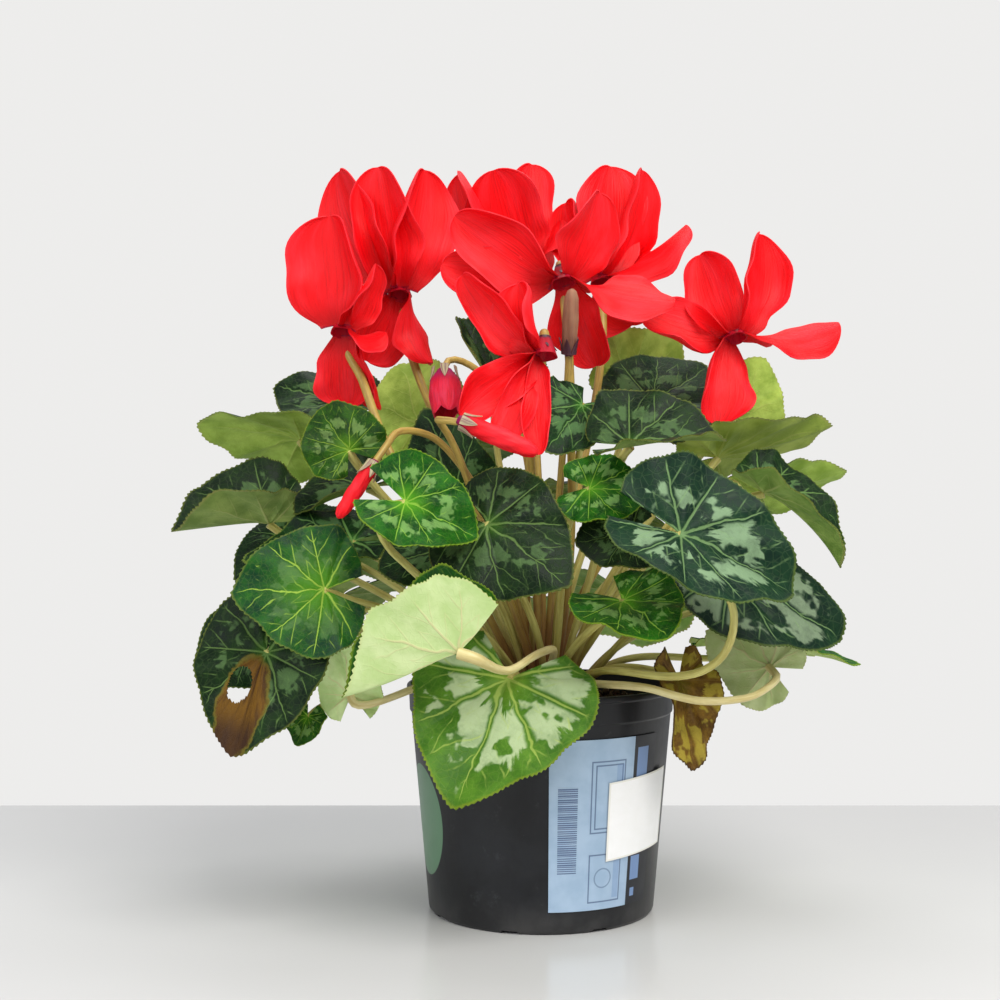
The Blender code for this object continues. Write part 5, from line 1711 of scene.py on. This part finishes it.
def furled(shape, calyx, axis, length, seed):
    """A closed bud that swells in its middle, scalloped where its petals wind about each other."""
    turns = FURL_TURNS[shape.tone]

    def scallop(along, turn):
        return 1 + 0.14 * np.abs(np.cos(2.5 * (turn + 2 * math.pi * turns * along))) - 0.07

    share = np.linspace(BUD_SWELL[0][0], 1.0, 30)
    sway = np.cross(axis, (0, 0, 1)) * (0.6 * np.sin(3 * share))[:, None]
    path = calyx + axis * length * share[:, None] + sway
    radii = shape.thick / 2 * np.interp(share, *BUD_SWELL)
    yield rod(shape.name + "_body", path, radii, 40, "bud_" + shape.tone, seed, "petal", scallop, 1 / length)


def parted(shape, calyx, axis, length, seed):
    """Petals that part from each other round a dark hollow."""
    radius = shape.thick / 2
    share = np.linspace(0, 1, 18)[:, None]
    cross = np.linspace(-1, 1, 11)
    away = radius * np.interp(share, (0, 0.25, 0.6, 1.0), (0.45, 1.05, 1.2, 0.95))
    half = radius * 0.85 * np.interp(share, (0, 0.3, 0.7, 0.9, 1.0), (0.5, 1.0, 1.0, 0.6, 0.1))
    for number, (outward, aside) in enumerate(round_about(axis, 5, 0.1)):
        middle = calyx + axis * length * (share - 0.04) + outward * away
        points = hollowed(middle, half, cross, aside, outward, 0.55)
        yield petal_piece(shape, number, points, petal_maps(cross, share, seed + number), "bud_magenta")


def bud_pieces(shape, path, end_radius, seed):
    """A bud's stem, its body or petals, and its sepals."""
    calyx = np.array(shape.calyx, float)
    length = np.linalg.norm(shape.tip - calyx)
    axis = unit(shape.tip - calyx)
    yield stem_of(shape.name, through(path, STALK_RINGS), end_radius, seed)
    body = parted if shape.tone == "magenta" else furled
    yield from body(shape, calyx, axis, length, seed)
    material = "sepal" if shape.tone == "faded" else "sepal_pale"
    sizes = (*BUD_SEPAL_SIZE, shape.thick / 2 * 0.95, 1.0)
    yield sepals(shape.name, calyx - axis * 1.4, axis, *sizes, material, seed)


def build_blooms(shapes, pieces, seeds, paths):
    """Every piece of the flowers or of the buds."""
    first, step = seeds
    for index, shape in enumerate(shapes):
        for piece in pieces(shape, *paths[shape.name], first + step * index):
            shown(piece, shape.name, SLOTS[shape.name])


# Stage

def build_table():
    """The painted top that the pot stands on."""
    floor = bpy.data.meshes.new("table_top")
    shape = bmesh.new()
    bmesh.ops.create_cube(shape, size=1.0)
    bmesh.ops.scale(shape, vec=(TABLE_WIDTH, TABLE_DEPTH, TABLE_THICKNESS), verts=shape.verts)
    middle = (0, TABLE_BACK - TABLE_DEPTH / 2, -TABLE_THICKNESS / 2)
    bmesh.ops.translate(shape, vec=middle, verts=shape.verts)
    bmesh.ops.bevel(shape, geom=shape.edges, offset=0.002, segments=3, affect="EDGES")
    shape.to_mesh(floor)
    shape.free()
    made, net, shader = new_material("table_paint", 0.22, Specular_IOR_Level=0.4)
    cloud = net.noise(place_on_object(net), 6.0, 3.0)
    net.set(shader.inputs["Base Color"], net.mix(cloud, (0.70, 0.695, 0.685), (0.74, 0.735, 0.725)))
    floor.materials.append(made)
    placed("table_top", floor)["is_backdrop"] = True


def build_sky():
    """A plain pale backdrop, which lights the plant less than it shows."""
    world = bpy.data.worlds.new("studio")
    world.use_nodes = True
    net = Net(world.node_tree)
    backdrop = net.add("Background", {"Color": (0.85, 0.845, 0.835), "Strength": 1.0}).outputs[0]
    ambient = net.add("Background", {"Color": (0.95, 0.97, 1.0), "Strength": AMBIENT}).outputs[0]
    seen = net.add("LightPath").outputs["Is Camera Ray"]
    sky = net.add("MixShader", {0: seen, 1: ambient, 2: backdrop}).outputs[0]
    net.set(world.node_tree.nodes["World Output"].inputs["Surface"], sky)
    bpy.context.scene.world = world


def build_lamps():
    for name, place, size, power, colour in LAMPS:
        lamp = bpy.data.lights.new(name, "AREA")
        lamp.shape = "RECTANGLE"
        lamp.size, lamp.size_y = size
        lamp.energy = power
        lamp.color = colour
        obj = placed(name, lamp)
        obj.location = place
        aim = Vector(LAMP_AIM) - Vector(place)
        obj.rotation_euler = aim.to_track_quat("-Z", "Y").to_euler()


def build_camera():
    """A level camera in front of the plant."""
    camera = bpy.data.cameras.new("camera")
    camera.lens = CAMERA_LENS
    camera.sensor_width = 36.0
    camera.clip_start = 0.01
    obj = placed("camera", camera)
    obj.location = CAMERA_PLACE
    obj.rotation_euler = (math.radians(90), 0, 0)
    bpy.context.scene.camera = obj
    bpy.context.scene.view_settings.view_transform = "Standard"


FINISHES = make_finishes()
build_pot()
build_soil()
build_tuber()
build_labels()
PATHS = stalk_paths()
build_leaves(PATHS)
build_blooms(FLOWERS, flower_pieces, FLOWER_SEEDS, PATHS)
build_blooms(BUDS, bud_pieces, BUD_SEEDS, PATHS)
build_table()
build_sky()
build_lamps()
build_camera()

boxes = {name: [list(corner) for corner in box] for name, box in (("cad", CAD_BOX), ("visual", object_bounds()))}
